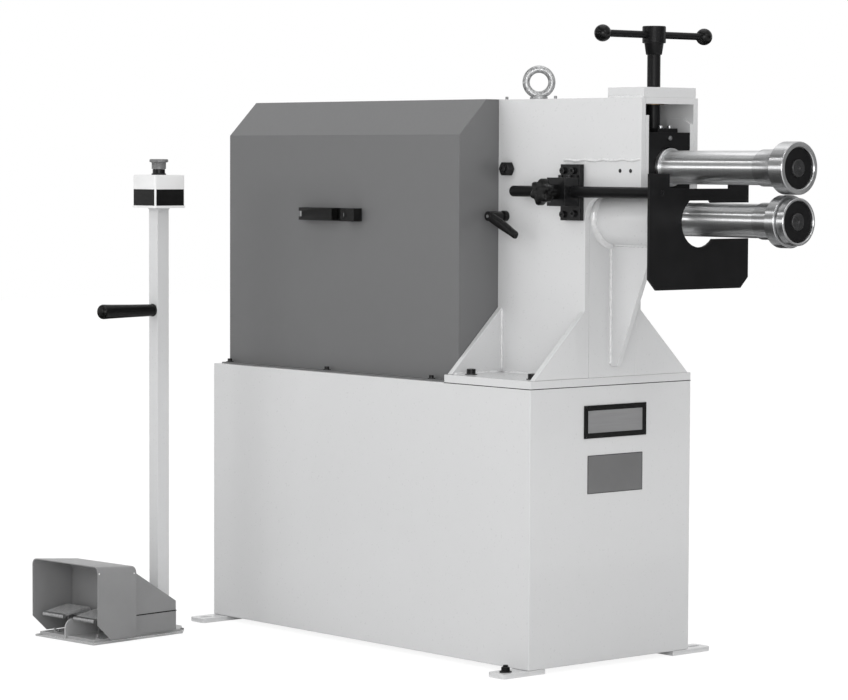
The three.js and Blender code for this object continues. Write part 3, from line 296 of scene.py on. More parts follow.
ALONG_SHAFT = (30, 0.3, 0.3)
FINISHES = {
    # Colour, roughness, metallic, mottle and its scale, grain and its scale, then what else the finish has
    # An edge grey above the colour is a painted highlight along the edges; on the black finishes it is painted
    # highlight and wear
    "paint": ((0.64, 0.643, 0.647), 0.3, 0, 0.004, 40, 0.015, 300,
              dict(spread=0.03, edge=(0.65, 1.2, 0.92), coat=0.25)),
    # weld_paint is the paint made lighter and mottled: painted highlights on the weld beads, the filler ridge and the
    # beads by the yoke cap
    "weld_paint": ((0.7, 0.702, 0.705), 0.16, 0, 0.07, 150, 0.08, 300, dict(spread=0.04, coat=0.6)),
    "guard_paint": ((0.146, 0.147, 0.149), 0.38, 0, 0.006, 30, 0.008, 300, dict(spread=0.02, edge=(0.6, 1.4, 0.42))),
    "hood_paint": ((0.25, 0.25, 0.252), 0.35, 0, 0.05, 14, 0.12, 500, dict(edge=(0.5, 0.8, 0.42))),
    "tray_paint": ((0.4, 0.402, 0.405), 0.35, 0, 0.08, 20, 0.15, 300, dict(edge=(0.7, 1, 0.8))),
    "chrome": ((0.72, 0.725, 0.73), 0.3, 1, 0.05, 30, 0.015, 60,
               dict(spread=0.015, stretch=ALONG_SHAFT, ground=1.0)),
    "ground_steel": ((0.58, 0.584, 0.59), 0.3, 1, 0.1, 60, 0.03, 60,
                     dict(spread=0.02, stretch=ALONG_SHAFT, ground=0.95)),
    "steel": ((0.42, 0.425, 0.43), 0.32, 1, 0.08, 25, 0.2, 300, {}),
    "zinc": ((0.42, 0.423, 0.426), 0.4, 0.85, 0.3, 220, 0.5, 500, dict(spread=0.1)),
    "tread": ((0.55, 0.55, 0.554), 0.45, 0.4, 0.2, 160, 0.4, 500, dict(spread=0.1)),
    "black_steel": ((0.008, 0.008, 0.0085), 0.36, 0, 0.15, 30, 0.12, 700,
                    dict(edge=(0.7, 0.6, 0.09), specular=0.14)),
    # black_bright is black_steel with lighter edges: a painted highlight along its edges
    "black_bright": ((0.008, 0.008, 0.0085), 0.22, 0, 0.15, 30, 0.12, 700,
                     dict(edge=(0.9, 0.9, 0.2), specular=0.25)),
    # A less deep black whose edges are painted light: a painted highlight on the roll screws
    "black_highlit": ((0.035, 0.035, 0.036), 0.3, 0.2, 0.25, 90, 0.2, 500, dict(edge=(0.9, 1.2, 0.2), specular=0.3)),
    "black_plastic": ((0.0055, 0.0055, 0.0055), 0.2, 0, 0.1, 40, 0.2, 1400,
                      dict(edge=(0.8, 0.8, 0.1), specular=0.2)),
    "band": ((0.007, 0.007, 0.007), 0.22, 0, 0.15, 30, 0.05, 400, dict(specular=0.2)),
    "rubber": ((0.007, 0.007, 0.007), 0.75, 0, 0.1, 9, 0.4, 900, dict(specular=0.15)),
    "bronze": ((0.2, 0.135, 0.065), 0.35, 0.9, 0.1, 30, 0.2, 300, {}),
    "motor_casting": ((0.1, 0.12, 0.14), 0.5, 0, 0.1, 25, 0.5, 350, {}),
    "case_plastic": ((0.8, 0.8, 0.8), 0.35, 0, 0.02, 9, 0.12, 900, dict(edge=(0.5, 0.8, 0.93))),
    "button_grey": ((0.17, 0.17, 0.172), 0.3, 0, 0.05, 9, 0.05, 400, {}),
    "plate": ((0.33, 0.33, 0.335), 0.38, 0.5, 0.05, 12, 0.3, 60, dict(stretch=(1, 1, 26))),
    "tag": ((0.19, 0.19, 0.192), 0.42, 0.3, 0.05, 12, 0.2, 500, {}),
}
MATERIALS = {name: surface(name, *values, **more) for name, (*values, more) in FINISHES.items()}


# ---- mesh helpers

TIP = 1e-5


def mm(points, start=0.0):
    """Pairs in mm as metres; the first of each pair counts from start, which is in metres."""
    return [(start + first * MM, second * MM) for first, second in points]


def off(place, x=0, y=0, z=0):
    """A place moved by x, y and z in mm."""
    return Vector(place) + Vector((x, y, z)) * MM


def arc(count, start=0.0, end=QUARTER):
    """Angles from start to end in equal steps."""
    return [start + (end - start) * i / count for i in range(count + 1)]


def circle(radius, z, sides=64):
    return [Vector((radius * math.cos(math.tau * i / sides), radius * math.sin(math.tau * i / sides), z))
            for i in range(sides)]


def circles(points, sides=60):
    """Rings from (place, radius) pairs in mm."""
    return [circle(radius, z, sides) for z, radius in mm(points)]


def hexagon(across, z, sides=60, round_to=None):
    """A ring of points on a hexagon, cut by a circle where round_to is given."""
    points = []
    for i in range(sides):
        angle = math.tau * i / sides
        radius = across / 2 / math.cos((angle + math.pi / 6) % (math.pi / 3) - math.pi / 6)
        if round_to:
            radius = min(radius, round_to)
        points.append(Vector((radius * math.cos(angle), radius * math.sin(angle), z)))
    return points


def rounded(size, corner, z, steps=6):
    """A ring of points on a square with round corners; all sizes in metres."""
    reach = size / 2 - corner
    points = []
    for k, (sx, sy) in enumerate(((1, 1), (-1, 1), (-1, -1), (1, -1))):
        for i in range(steps + 1):
            angle = QUARTER * (k + i / steps)
            points.append(Vector((sx * reach + corner * math.cos(angle), sy * reach + corner * math.sin(angle), z)))
    return points


def along(axis, place):
    """A matrix whose Z runs along axis, from place."""
    turn = Z.rotation_difference(Vector(axis)).to_matrix().to_4x4()
    return Matrix.Translation(place) @ turn


def on_line(axis, point):
    """A matrix whose Z runs along axis through point, and counts from the frame's own origin."""
    return along(axis, point - axis * point.dot(axis))


def loft(bm, rings, matrix=None, closed=False):
    """Skins rings of equal count; open ends are capped, or the last ring joins the first where closed."""
    rows = [[bm.verts.new(matrix @ p if matrix else p) for p in ring] for ring in rings]
    pairs = list(zip(rows, rows[1:]))
    if closed:
        pairs.append((rows[-1], rows[0]))
    for low, high in pairs:
        count = len(low)
        for i in range(count):
            j = (i + 1) % count
            bm.faces.new((low[i], low[j], high[j], high[i]))
    if not closed:
        bm.faces.new(list(reversed(rows[0])))
        bm.faces.new(rows[-1])


def turned(bm, profile, matrix, sides=64, closed=False):
    """A lathe form from (place, radius) steps; a radius of zero ends in a tip."""
    loft(bm, [circle(max(radius, TIP), place, sides) for place, radius in profile], matrix, closed)


def prism(bm, outline, matrix, depth):
    """A plate from an outline in X and Y, thickened along Z."""
    loft(bm, [[Vector((u, v, z)) for u, v in outline] for z in (0, depth)], matrix)


def block(bm, low, high, matrix=None):
    (x0, y0, z0), (x1, y1, z1) = low, high
    ring = [(x0, y0), (x1, y0), (x1, y1), (x0, y1)]
    loft(bm, [[Vector((u, v, z)) for u, v in ring] for z in (z0, z1)], matrix)


def pierced(bm, low, high, centre, radius, side=16):
    """A plate from corner to corner with one round upright hole, whose radius is in mm."""
    (x0, y0, z0), (x1, y1, z1) = low, high
    corners = [(x1, y0), (x1, y1), (x0, y1), (x0, y0)]
    outer = []
    for here, there in zip(corners, corners[1:] + corners[:1]):
        outer += [(here[0] + (there[0] - here[0]) * i / side, here[1] + (there[1] - here[1]) * i / side)
                  for i in range(side)]
    angles = [math.atan2(v - centre.y, u - centre.x) for u, v in outer]
    inner = [(centre.x + radius * MM * math.cos(a), centre.y + radius * MM * math.sin(a)) for a in angles]
    loft(bm, [[Vector((u, v, z)) for u, v in ring]
              for ring, z in ((outer, z0), (outer, z1), (inner, z1), (inner, z0))], closed=True)


def rim(bm, low, high, wide, thick):
    """A flat frame from corner to corner of a face that looks along X, with its width and thickness in mm."""
    outer = [(low.y, low.z), (high.y, low.z), (high.y, high.z), (low.y, high.z)]
    low, high = off(low, 0, wide, wide), off(high, thick, -wide, -wide)
    inner = [(low.y, low.z), (high.y, low.z), (high.y, high.z), (low.y, high.z)]
    loft(bm, [[Vector((x, u, v)) for u, v in points]
              for x, points in ((low.x, outer), (high.x, outer), (high.x, inner), (low.x, inner))], closed=True)


def cap_screw(bm, place, axis, head, height, washer=0.0):
    """A socket head screw standing on place, with a washer under it where one is given. Sizes in mm."""
    matrix = along(axis, place)
    base = 0
    if washer:
        base = 1.6
        turned(bm, mm([(0, washer), (base - 0.3, washer), (base, washer - 0.3)]), matrix, 32)
    edge, top, socket = head * 0.06, base + height, head * 1.05 * MM
    loft(bm, [*circles([(base - 0.2, head), (top - edge, head), (top, head - edge)]),
              hexagon(socket, top * MM), hexagon(socket, (base + height * 0.45) * MM)], matrix)


def hex_head(bm, place, axis, across, height):
    """A hexagon head standing on place. Sizes in mm."""
    across, height = across * MM, height * MM
    round_to = across * 0.56
    loft(bm, [hexagon(across, -0.2 * MM, 60, round_to), hexagon(across, height * 0.86, 60, round_to),
              circle(across * 0.47, height, 60)], along(axis, place))


def bead(bm, points, radius, seed=0):
    """A weld bead: a lumpy half-sunk string along the points, with a radius in mm."""
    step, sides = 3.5 * MM, 10
    path = [Vector(p) for p in points]
    spots = []
    for first, second in zip(path, path[1:]):
        count = max(1, int((second - first).length / step))
        spots += [first.lerp(second, i / count) for i in range(count)]
    spots.append(path[-1])
    rings = []
    for i, spot in enumerate(spots):
        ahead = (spots[min(i + 1, len(spots) - 1)] - spots[max(i - 1, 0)]).normalized()
        matrix = along(ahead, spot)
        lump = 1 + 0.14 * math.sin(i * 1.9 + seed) + 0.08 * math.sin(i * 0.73 + 2 * seed)
        size = radius * MM * lump * (0.35 if i in (0, len(spots) - 1) else 1)
        rings.append([matrix @ p for p in circle(size, 0, sides)])
    loft(bm, rings)


def round_edges(item, width, segments=2, angle=35):
    """Rounds the edges over the angle; the width is in mm."""
    step = item.modifiers.new("bevel", "BEVEL")
    step.width = width * MM
    step.segments = segments
    step.limit_method = "ANGLE"
    step.angle_limit = math.radians(angle)
    step.harden_normals = True
    step.use_clamp_overlap = True


def finish(bm, name, material, body, slot=None, replaces=None, bevel=None, angle=32):
    """Makes the piece, gives it its finish and puts it on its body. A piece named NODE_fine stands for that node."""
    bmesh.ops.remove_doubles(bm, verts=bm.verts, dist=1e-6)
    bmesh.ops.recalc_face_normals(bm, faces=bm.faces)
    mesh = bpy.data.meshes.new(name)
    bm.to_mesh(mesh)
    bm.free()
    item = bpy.data.objects.new(name, mesh)
    bpy.context.scene.collection.objects.link(item)
    mesh.materials.append(MATERIALS[material])
    mesh.polygons.foreach_set("use_smooth", [True] * len(mesh.polygons))
    mesh.set_sharp_from_angle(angle=math.radians(angle))
    if bevel:
        round_edges(item, *bevel)
    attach(item, body)
    node = replaces or name.removesuffix("_fine")
    if replaces or node in nodes:
        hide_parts(node)


def lathe(name, material, body, profile, matrix, sides=64, closed=False, **more):
    """A piece that is one lathe form."""
    bm = bmesh.new()
    turned(bm, profile, matrix, sides, closed)
    finish(bm, name, material, body, **more)


# ---- carried CAD nodes

EDGES = (
    # Edge radius in mm, segments and nodes
    (0.3, 1, "lower_gear upper_gear latch_spindle"),
    (0.35, 2, "stop_plate"),
    (0.4, 2, "pedal_guard"),
    (0.5, 2, "head_front_plate"),
    (0.6, 2, "head_top_plate guide_strip_near guide_strip_far pedal_base"),
    (0.7, 2, "gauge_bracket pedal_box latch_handle"),
    (0.8, 2, "foot_front_near foot_front_far foot_rear_near foot_rear_far slide_block gauge_clamp_block latch_base"),
    (0.8, 2, "motor lower_rear_housing swing_housing"),
    (0.9, 2, "side_plate_near side_plate_far"),
    (1.0, 2, "head_base_plate"),
    (1.1, 3, "guard_cover"),
    (1.2, 3, "pedal_cover"),
    (1.4, 3, "cabinet_shell"),
    (1.5, 2, "gearmotor_stand"),
    (2.2, 4, "post"),
    (2.5, 3, "gearbox"),
)
# Nodes that differ from the rest of their slot; on the bracket and the clamp block black_bright paints a highlight
# along the edges
OWN_FINISH = {"gauge_clamp_block": "black_bright", "gauge_bracket": "black_bright", "pedal_base": "tray_paint"}


def crease_group(angle=32):
    """A modifier's node group that shades a carried mesh smooth but for the edges over the angle."""
    group = bpy.data.node_groups.new("crease", "GeometryNodeTree")
    for way in ("INPUT", "OUTPUT"):
        group.interface.new_socket("Geometry", in_out=way, socket_type="NodeSocketGeometry")
    start, end = group.nodes.new("NodeGroupInput"), group.nodes.new("NodeGroupOutput")
    bare = group.nodes.new("GeometryNodeRemoveAttribute")
    bare.inputs["Name"].default_value = "custom_normal"
    bend = group.nodes.new("GeometryNodeInputMeshEdgeAngle")
    sharp = group.nodes.new("FunctionNodeCompare")
    sharp.data_type, sharp.operation = "FLOAT", "GREATER_THAN"
    sharp.inputs[1].default_value = math.radians(angle)
    crease = group.nodes.new("GeometryNodeSetShadeSmooth")
    crease.domain = "EDGE"
    crease.inputs["Shade Smooth"].default_value = False
    group.links.new(bend.outputs["Unsigned Angle"], sharp.inputs[0])
    group.links.new(sharp.outputs[0], crease.inputs["Selection"])
    chain = (start, bare, crease, end)
    for first, second in zip(chain, chain[1:]):
        group.links.new(first.outputs[0], second.inputs[0])
    return group


def dress_nodes():
    """Gives each carried node its finish, joins its triangles to faces and rounds its edges."""
    slots = {part["node"]: part["material_slot"] for part in frame["record"]["subparts"]}
    edges = {node: (width, segments) for width, segments, names in EDGES for node in names.split()}
    group = crease_group()
    for name, item in nodes.items():
        item.data.materials.clear()
        item.data.materials.append(MATERIALS[OWN_FINISH.get(name, slots[name])])
        item.data.polygons.foreach_set("use_smooth", [True] * len(item.data.polygons))
        item.modifiers.new("weld", "WELD").merge_threshold = 1e-6
        flat = item.modifiers.new("flat", "DECIMATE")
        flat.decimate_type = "DISSOLVE"
        flat.angle_limit = math.radians(0.3)
        item.modifiers.new("crease", "NODES").node_group = group
        if name in edges:
            round_edges(item, *edges[name])


# ---- shafts and rolls

# Radii in mm: the shafts' steps, then the rolls and the recess of their caps
SHAFT, TAIL, JOURNAL, NOSE = 32.5, 25, 20, 18
HUB, RIM, CAP_BORE = 35, 49.7, 39.4
DRUM = 54
CAP_RECESS = 10
COLLAR_REACH = 341  # mm from the upper collar's rear face to the shaft's front end
FINE = 112


def make_shafts():
    chamfer = 0.8
    for name in ("lower", "upper"):
        low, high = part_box(f"{name}_shaft")
        if name == "lower":
            steps = mm([(0, TAIL - chamfer), (chamfer, TAIL)], low.x)
            steps += mm([(0, TAIL), (0, SHAFT)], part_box("lower_bearing_housing")[0].x)
        else:
            steps = mm([(0, JOURNAL - chamfer), (chamfer, JOURNAL)], low.x)
            steps += mm([(0.3, JOURNAL), (0.3, TAIL)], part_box("swing_housing")[1].x)
            # Collar, flange in front of the slide block, and a groove
            steps += mm([(0, TAIL), (0, 35.5 - chamfer), (chamfer, 35.5), (15.4, 35.5), (15.4, 36.8), (15.8, 37.2),
                         (17.3, 37.2), (17.9, 36.6), (17.9, 31.7), (19.9, 31.7), (20.3, SHAFT)],
                        high.x - COLLAR_REACH * MM)
        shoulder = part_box(f"{name}_roll")[0].x - 0.3 * MM
        steps += mm([(-chamfer, SHAFT), (0, SHAFT - chamfer), (0, NOSE)], shoulder) + [(high.x, NOSE * MM)]
        lathe(f"{name}_shaft_fine", "chrome", f"{name}_shaft", steps, on_line(X, mid(f"{name}_roll")), FINE)


def make_rolls():
    low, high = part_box("upper_roll")
    rear, front = low.x, high.x
    hub = mm([(0, NOSE + 0.3), (0, HUB - 0.6), (0.6, HUB)], rear)
    bore = mm([(0, CAP_BORE + 1.5), (-1.5, CAP_BORE), (-CAP_RECESS, CAP_BORE), (-CAP_RECESS, NOSE + 0.3)], front)
    # Upper roll: a hub that flares out to a plain rim
    flare = [(-34 - 42 * (1 - math.sin(a)), HUB + (RIM - HUB) * (1 - math.cos(a))) for a in arc(18)]
    upper = mm(flare + [(-1.4, RIM), (0, RIM - 1.4)], front)
    # Lower roll: a rim, a groove and a lower front ring
    lower = mm([(-47.5, HUB), (-46, HUB + 1.5), (-46, RIM - 3), (-43, RIM), (-20.8, RIM), (-20, RIM - 0.8),
                (-20, 40.7), (-17, 40.7), (-17, 44.3), (-16.5, 44.8), (-1.2, 44.8), (0, 43.6)], front)
    for name, outer in (("upper", upper), ("lower", lower)):
        lathe(f"{name}_roll_fine", "ground_steel", f"{name}_shaft", hub + outer + bore,
              on_line(X, mid(f"{name}_roll")), FINE, closed=True, angle=28)


def make_roll_caps():
    disc, screw = 39, 16.4
    for name in ("lower", "upper"):
        low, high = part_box(f"{name}_roll_cap")
        line = on_line(X, mid(f"{name}_roll_cap"))
        cap = mm([(0, disc - 0.5), (0.5, disc)], low.x)
        cap += mm([(-3.8, disc), (-3, disc - 0.8), (-3, screw + 1.2), (-3.6, screw + 0.5), (-3.6, 1)], high.x)
        lathe(f"{name}_roll_cap_fine", "black_steel", f"{name}_shaft", cap, line, 80, angle=25)
        # The screw heads take a less deep black with a painted highlight on their edges
        head = mm([(-3.5, screw), (-1, screw), (0, screw - 1), (0, 3.4), (-2.6, 0.6)], high.x)
        lathe(f"{name}_roll_screw", "black_highlit", f"{name}_shaft", head, line, 60, angle=25)


# ---- bearings

# Section of the round weld at the drum's foot: place along the drum and rise over it, in mm
DRUM_WELD = ((0.1, -0.6), (0.1, 9), (2.2, 8.6), (4.6, 6.6), (6.8, 3.8), (8.2, 1.4), (8.8, -0.6))


def make_drum_weld(wall, axis):
    """The round weld at the front plate, which ends at the plate's upper edge."""
    drum = DRUM * MM
    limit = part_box("head_front_plate")[1].z - axis.z - 0.5 * MM
    rings = []
    for place, rise in DRUM_WELD:
        ring = []
        for i in range(FINE):
            angle = math.tau * i / FINE
            lump = 1 + 0.03 * math.sin(13 * angle) + 0.02 * math.sin(29 * angle + 1)
            radius = drum + rise * (lump if rise > 0 else 1) * MM
            up = -math.cos(angle)
            if up > 0 and radius * up > limit:
                radius = max(drum - 0.6 * MM, limit / up)
            ring.append(Vector((radius * math.cos(angle), radius * math.sin(angle), place * MM)))
        rings.append(ring)
    bm = bmesh.new()
    loft(bm, rings, along(X, (wall, axis.y, axis.z)))
    finish(bm, "drum_weld", "weld_paint", "machine", angle=60)


def make_drum():
    """The lower shaft's bearing drum, the rib under it and their welds."""
    low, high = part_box("lower_bearing_housing")
    axis = mid("lower_roll")
    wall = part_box("head_front_plate")[1].x
    bore, drum = 41.1, DRUM * MM
    profile = mm([(0, bore), (0, DRUM)], low.x)
    profile += mm([(-1.5, DRUM), (0, DRUM - 1.5), (0, bore + 1), (-1, bore)], high.x)
    lathe("bearing_drum", "paint", "machine", profile, on_line(X, axis), FINE, closed=True,
          replaces="lower_bearing_housing")
    make_drum_weld(wall, axis)
    half = 6 * MM
    top, foot, tip = axis.z - drum + 6 * MM, wall + 0.3 * MM, high.x - 30 * MM
    side = [(foot, low.z), (wall + 18 * MM, low.z), (tip, axis.z - drum - 0.3 * MM), (tip, top), (foot, top)]
    bm = bmesh.new()
    prism(bm, side, Matrix.Translation((0, axis.y + half, 0)) @ Matrix.Rotation(QUARTER, 4, "X"), 2 * half)
    finish(bm, "bearing_rib", "paint", "machine", bevel=(1.2, 3))
    bm = bmesh.new()
    for way in (-1, 1):
        y = axis.y + way * (half + 0.5 * MM)
        x = wall + 0.8 * MM
        bead(bm, [(x, y, low.z + 3 * MM), (x, y, axis.z - drum - 4 * MM)], 3.6)
        under = axis.z - math.sqrt(drum ** 2 - (half + 0.5 * MM) ** 2)
        bead(bm, [(wall + 6 * MM, y, under), (high.x - 32 * MM, y, under)], 3.2, seed=2)
    finish(bm, "rib_welds", "weld_paint", "machine", angle=60)


def make_bearings():
    make_drum()
    for name, node, axis, inner, outer in (("front_bush", "lower_front_bush", X, 32.9, 40.3),
                                           ("screw_bush_fine", "screw_bush", Z, 13.4, 21)):
        low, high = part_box(node)
        profile = mm([(0, inner), (0, outer)], low.dot(axis))
        profile += mm([(-0.6, outer), (0, outer - 0.6), (0, inner + 0.6), (-0.6, inner)], high.dot(axis))
        lathe(name, "bronze", "machine", profile, on_line(axis, mid(node)), 80, closed=True, replaces=node)
    # A ball-shaped bearing that lets the upper shaft tilt
    low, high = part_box("upper_front_bearing")
    radius, half, bore = 36 * MM, (high.x - low.x) / 2, 25.4 * MM
    places = [-half + 2 * half * i / 16 for i in range(17)]
    ball = [(place, math.sqrt(radius ** 2 - place ** 2)) for place in places]
    lathe("upper_bearing_fine", "steel", "upper_carrier", [(-half, bore), *ball, (half, bore)],
          along(X, mid("upper_front_bearing")), 80, closed=True, replaces="upper_front_bearing")


# ---- head

def wall_face(side):
    """The outer face of a side plate of the head, 6 mm outside the block on the yoke."""
    low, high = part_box("screw_nut_block")
    return low.y - 6 * MM if side == "near" else high.y + 6 * MM


def make_pivots():
    nut = 17
    spin = Matrix.Rotation(math.pi / 6, 4, "Z")
    for side, way in (("near", -Y), ("far", Y)):
        node = f"pivot_bolt_{side}"
        low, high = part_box(node)
        centre, wall = mid(node), wall_face(side)
        outside, inside = (low.y, high.y) if side == "near" else (high.y, low.y)
        tip, reach = abs(outside - wall), abs(inside - wall)
        matrix = along(way, Vector((centre.x, wall, centre.z)))
        bm = bmesh.new()
        turned(bm, mm([(0, 10), (12, 10), (12, 12)], -reach) + mm([(0.3, 12)]), matrix, 48)
        flats = [[spin @ p for p in hexagon(26.5 * MM, z * MM, 60, 14.9 * MM)] for z in (0.3, nut - 1.4)]
        face = circles([(nut, 12.4), (nut, 8.6), (nut - 0.8, 8)])
        end = [circle(radius, z, 60) for z, radius in mm([(-1, 8), (0, 7), (0, 3.4), (-4, 2.4)], tip)]
        loft(bm, flats + face + end, matrix)
        finish(bm, f"{node}_fine", "black_bright", "machine", angle=28)


def make_eye_bolt():
    low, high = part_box("eye_bolt")
    centre = mid("eye_bolt")
    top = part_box("head_top_plate")[1].z
    ring, section = 26.075 * MM, 7.425 * MM
    middle = Vector((centre.x, centre.y, high.z - ring - section))
    turn = Matrix.Rotation(math.radians(49), 4, "Z")
    rows = []
    for i in range(72):
        angle = math.tau * i / 72
        out = Vector((math.cos(angle), 0, math.sin(angle)))
        rows.append([turn @ (out * (ring + section * math.cos(t)) + Y * section * math.sin(t)) + middle
                     for t in (math.tau * k / 24 for k in range(24))])
    bm = bmesh.new()
    loft(bm, rows, closed=True)
    finish(bm, "eye_ring", "zinc", "machine", replaces="eye_bolt", angle=60)
    collar = mm([(0.3, 8), (0.3, 17.6), (1, 18), (5, 18), (6.5, 16.6), (8, 13), (10, 9.5), (13, 7.4), (15, 4)], top)
    lathe("eye_collar", "zinc", "machine", [(low.z, 8 * MM), *collar], on_line(Z, centre), 56, angle=40)


def make_screw():
    """The pressure screw with its hub, tee bar and ball knobs."""
    body = "pressure_screw"
    matrix = on_line(Z, mid(body))
    low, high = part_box(body)
    steps = mm([(0, 15.4), (0.6, 16), (8.4, 16), (9, 15.4), (9, 9), (22, 9), (26, 13)], low.z)
    lathe("pressure_screw_fine", "black_steel", body, steps + [(high.z, 13 * MM)], matrix, 56)
    low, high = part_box("screw_hub")
    steps = mm([(0, 13.3), (0, 15), (1, 15.7)], low.z)
    steps += mm([(-33, 19), (-33, 22), (-32, 23), (-1.4, 23), (0, 21.6), (0, 5), (-1, 4)], high.z)
    lathe("screw_hub_fine", "black_steel", body, steps, matrix, angle=28)
    low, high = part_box("tee_bar")
    steps = mm([(0, 6.4), (0.6, 7)], low.y) + mm([(-0.6, 7), (0, 6.4)], high.y)
    lathe("tee_bar_fine", "black_steel", body, steps, on_line(Y, mid("tee_bar")), 40)
    for side, way in (("near", -Y), ("far", Y)):
        node = f"ball_knob_{side}"
        ball = mid(node)
        low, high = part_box(node)
        radius = (high.x - low.x) / 2
        middle = Vector((ball.x, high.y - radius if side == "far" else low.y + radius, ball.z))
        steps = [(-radius * 0.93, 7.3 * MM)]
        steps += [(-radius * math.cos(t), radius * math.sin(t)) for t in arc(30, math.radians(24), math.pi)]
        lathe(f"{node}_fine", "black_plastic", body, steps, along(way, middle), 56, angle=30)


# ---- stop gauge and clamp lever

def make_rod():
    low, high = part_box("gauge_rod")
    radius, start = 11 * MM, low.x + 8 * MM
    steps = [(start + radius * 0.45 * (1 - math.sin(t)), radius * (0.55 + 0.45 * math.cos(t)))
             for t in arc(8, QUARTER, 0)]
    lathe("gauge_rod_fine", "black_steel", "gauge", steps + [(high.x, radius)], on_line(X, mid("gauge_rod")), 48)


def make_star_knob():
    low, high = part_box("star_knob")
    lobes, outer, dip, lean, sides = 6, 26.8, 6.4, math.radians(18), 96
    front, back, root = -low.y / MM, -low.y / MM - 20, -high.y / MM

    def star(z, inset):
        points = []
        for i in range(sides):
            angle = math.tau * i / sides
            radius = (outer - dip * (1 - math.cos(lobes * (angle - lean))) / 2 - inset) * MM
            points.append(Vector((radius * math.cos(angle), radius * math.sin(angle), z * MM)))
        return points

    neck = circles([(root, 6), (back - 27, 6), (back - 27, 13.5), (back - 26, 14.6), (back - 0.5, 15)], sides)
    grip = [star(back, 4), star(back + 1, 1.4), star(back + 3, 0), star(front - 5, 0), star(front - 2, 1.2),
            star(front - 0.4, 4), star(front, 7)]
    dish = circles([(front, 9), (front - 1.5, 8), (front - 1.5, 2)], sides)
    bm = bmesh.new()
    loft(bm, neck + grip + dish, on_line(-Y, joint_place("star_turn")))
    finish(bm, "star_knob_fine", "black_plastic", "star_knob", angle=38)


def squared(value, power=0.62):
    """Turns the cosines of a round section into those of a rounded square."""
    return math.copysign(abs(value) ** power, value)


def make_clamp_lever():
    pivot = joint_place("clamp_lever_turn")
    low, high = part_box("clamp_lever")
    hub = along(-Y, (pivot.x, high.y, pivot.z))
    bm = bmesh.new()
    turned(bm, mm([(0, 7), (0, 10.6), (0.6, 11), (8.4, 11), (9, 10.4), (9, 8.6), (14, 8.6), (17, 10)])
           + mm([(-1.6, 10), (0, 8.4), (0, 4.2), (-0.8, 4), (-0.8, 0.5)], high.y - low.y), hub, 56)
    # The arm: rounded squares along a bent line, out of the hub's outer end
    drop = math.radians(25.3)
    way = Vector((math.cos(drop), 0, -math.sin(drop)))
    side = Vector((math.sin(drop), 0, math.cos(drop)))
    base = Vector((pivot.x, low.y + 6.5 * MM, pivot.z))
    rings = []
    count = 26
    for i in range(count + 1):
        t = i / count
        reach = (4 + 84 * t) * MM
        end = 1.1 if i == count else 0
        wide = (8.8 - 1.2 * t + 1.4 * math.sin(math.pi * min(1, t * 1.25)) - end) * MM
        thick = (6.3 - 0.9 * t - end) * MM
        centre = base + way * reach + Y * (1.2 * MM * math.sin(math.pi * t))
        rings.append([centre + side * (wide * squared(math.cos(a))) + Y * (thick * squared(math.sin(a)))
                      for a in (math.tau * k / 40 for k in range(40))])
    loft(bm, rings)
    finish(bm, "clamp_lever_fine", "black_plastic", "clamp_lever", angle=40)
    bm = bmesh.new()
    cap_screw(bm, (pivot.x, low.y + 1 * MM, pivot.z), -Y, 3.4, 0.9)
    finish(bm, "clamp_lever_screw", "steel", "clamp_lever")


# ---- small fasteners of the machine

def make_machine_screws(corner):
    """Black screws that the photograph shows, each standing on the face that carries it."""
    bm = bmesh.new()
    for x in (-218, -38):
        for y in (-181, 181):
            cap_screw(bm, off(corner, x, y), Z, 9, 10, washer=12)
    low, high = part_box("guard_cover")
    for x in (low.x + 15 * MM, low.x + 350 * MM, high.x - 69 * MM):
        for y in (low.y + 11 * MM, high.y - 11 * MM):
            cap_screw(bm, (x, y, low.z + 2.5 * MM), Z, 5, 6, washer=8)
    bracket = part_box("gauge_bracket")[0]
    for x, z in ((9, 12), (39, 14), (9, 98), (37, 98)):
        cap_screw(bm, off(bracket, x, 0, z), -Y, 6.5, 6)
    low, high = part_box("gauge_clamp_block")
    for x in (14, 37):
        cap_screw(bm, off((low.x, low.y, high.z), x, 24), Z, 5, 5)
    for x in (96.6, 125.5):
        place = off((corner.x, wall_face("near"), corner.z), x, 0, 408.5)
        turned(bm, mm([(-1, 4), (0.3, 4), (0.6, 3.6), (0.6, 1.6), (0.1, 1.4)]), along(-Y, place), 32)
    finish(bm, "machine_screws", "black_bright", "machine", angle=30)


def make_foot_anchor():
    """An anchor with its nut on the near front foot."""
    low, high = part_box("foot_front_near")
    spot = Vector((high.x - 24 * MM, low.y + 27 * MM, high.z))
    line = along(Z, spot)
    bm = bmesh.new()
    turned(bm, mm([(0, 12), (1.6, 12), (2, 11.6)]), line, 40)
    hex_head(bm, spot + Z * 2 * MM, Z, 16, 8)
    turned(bm, mm([(-9, 5), (13, 5), (14, 4)]), line, 32)
    finish(bm, "foot_anchor", "black_steel", "machine")


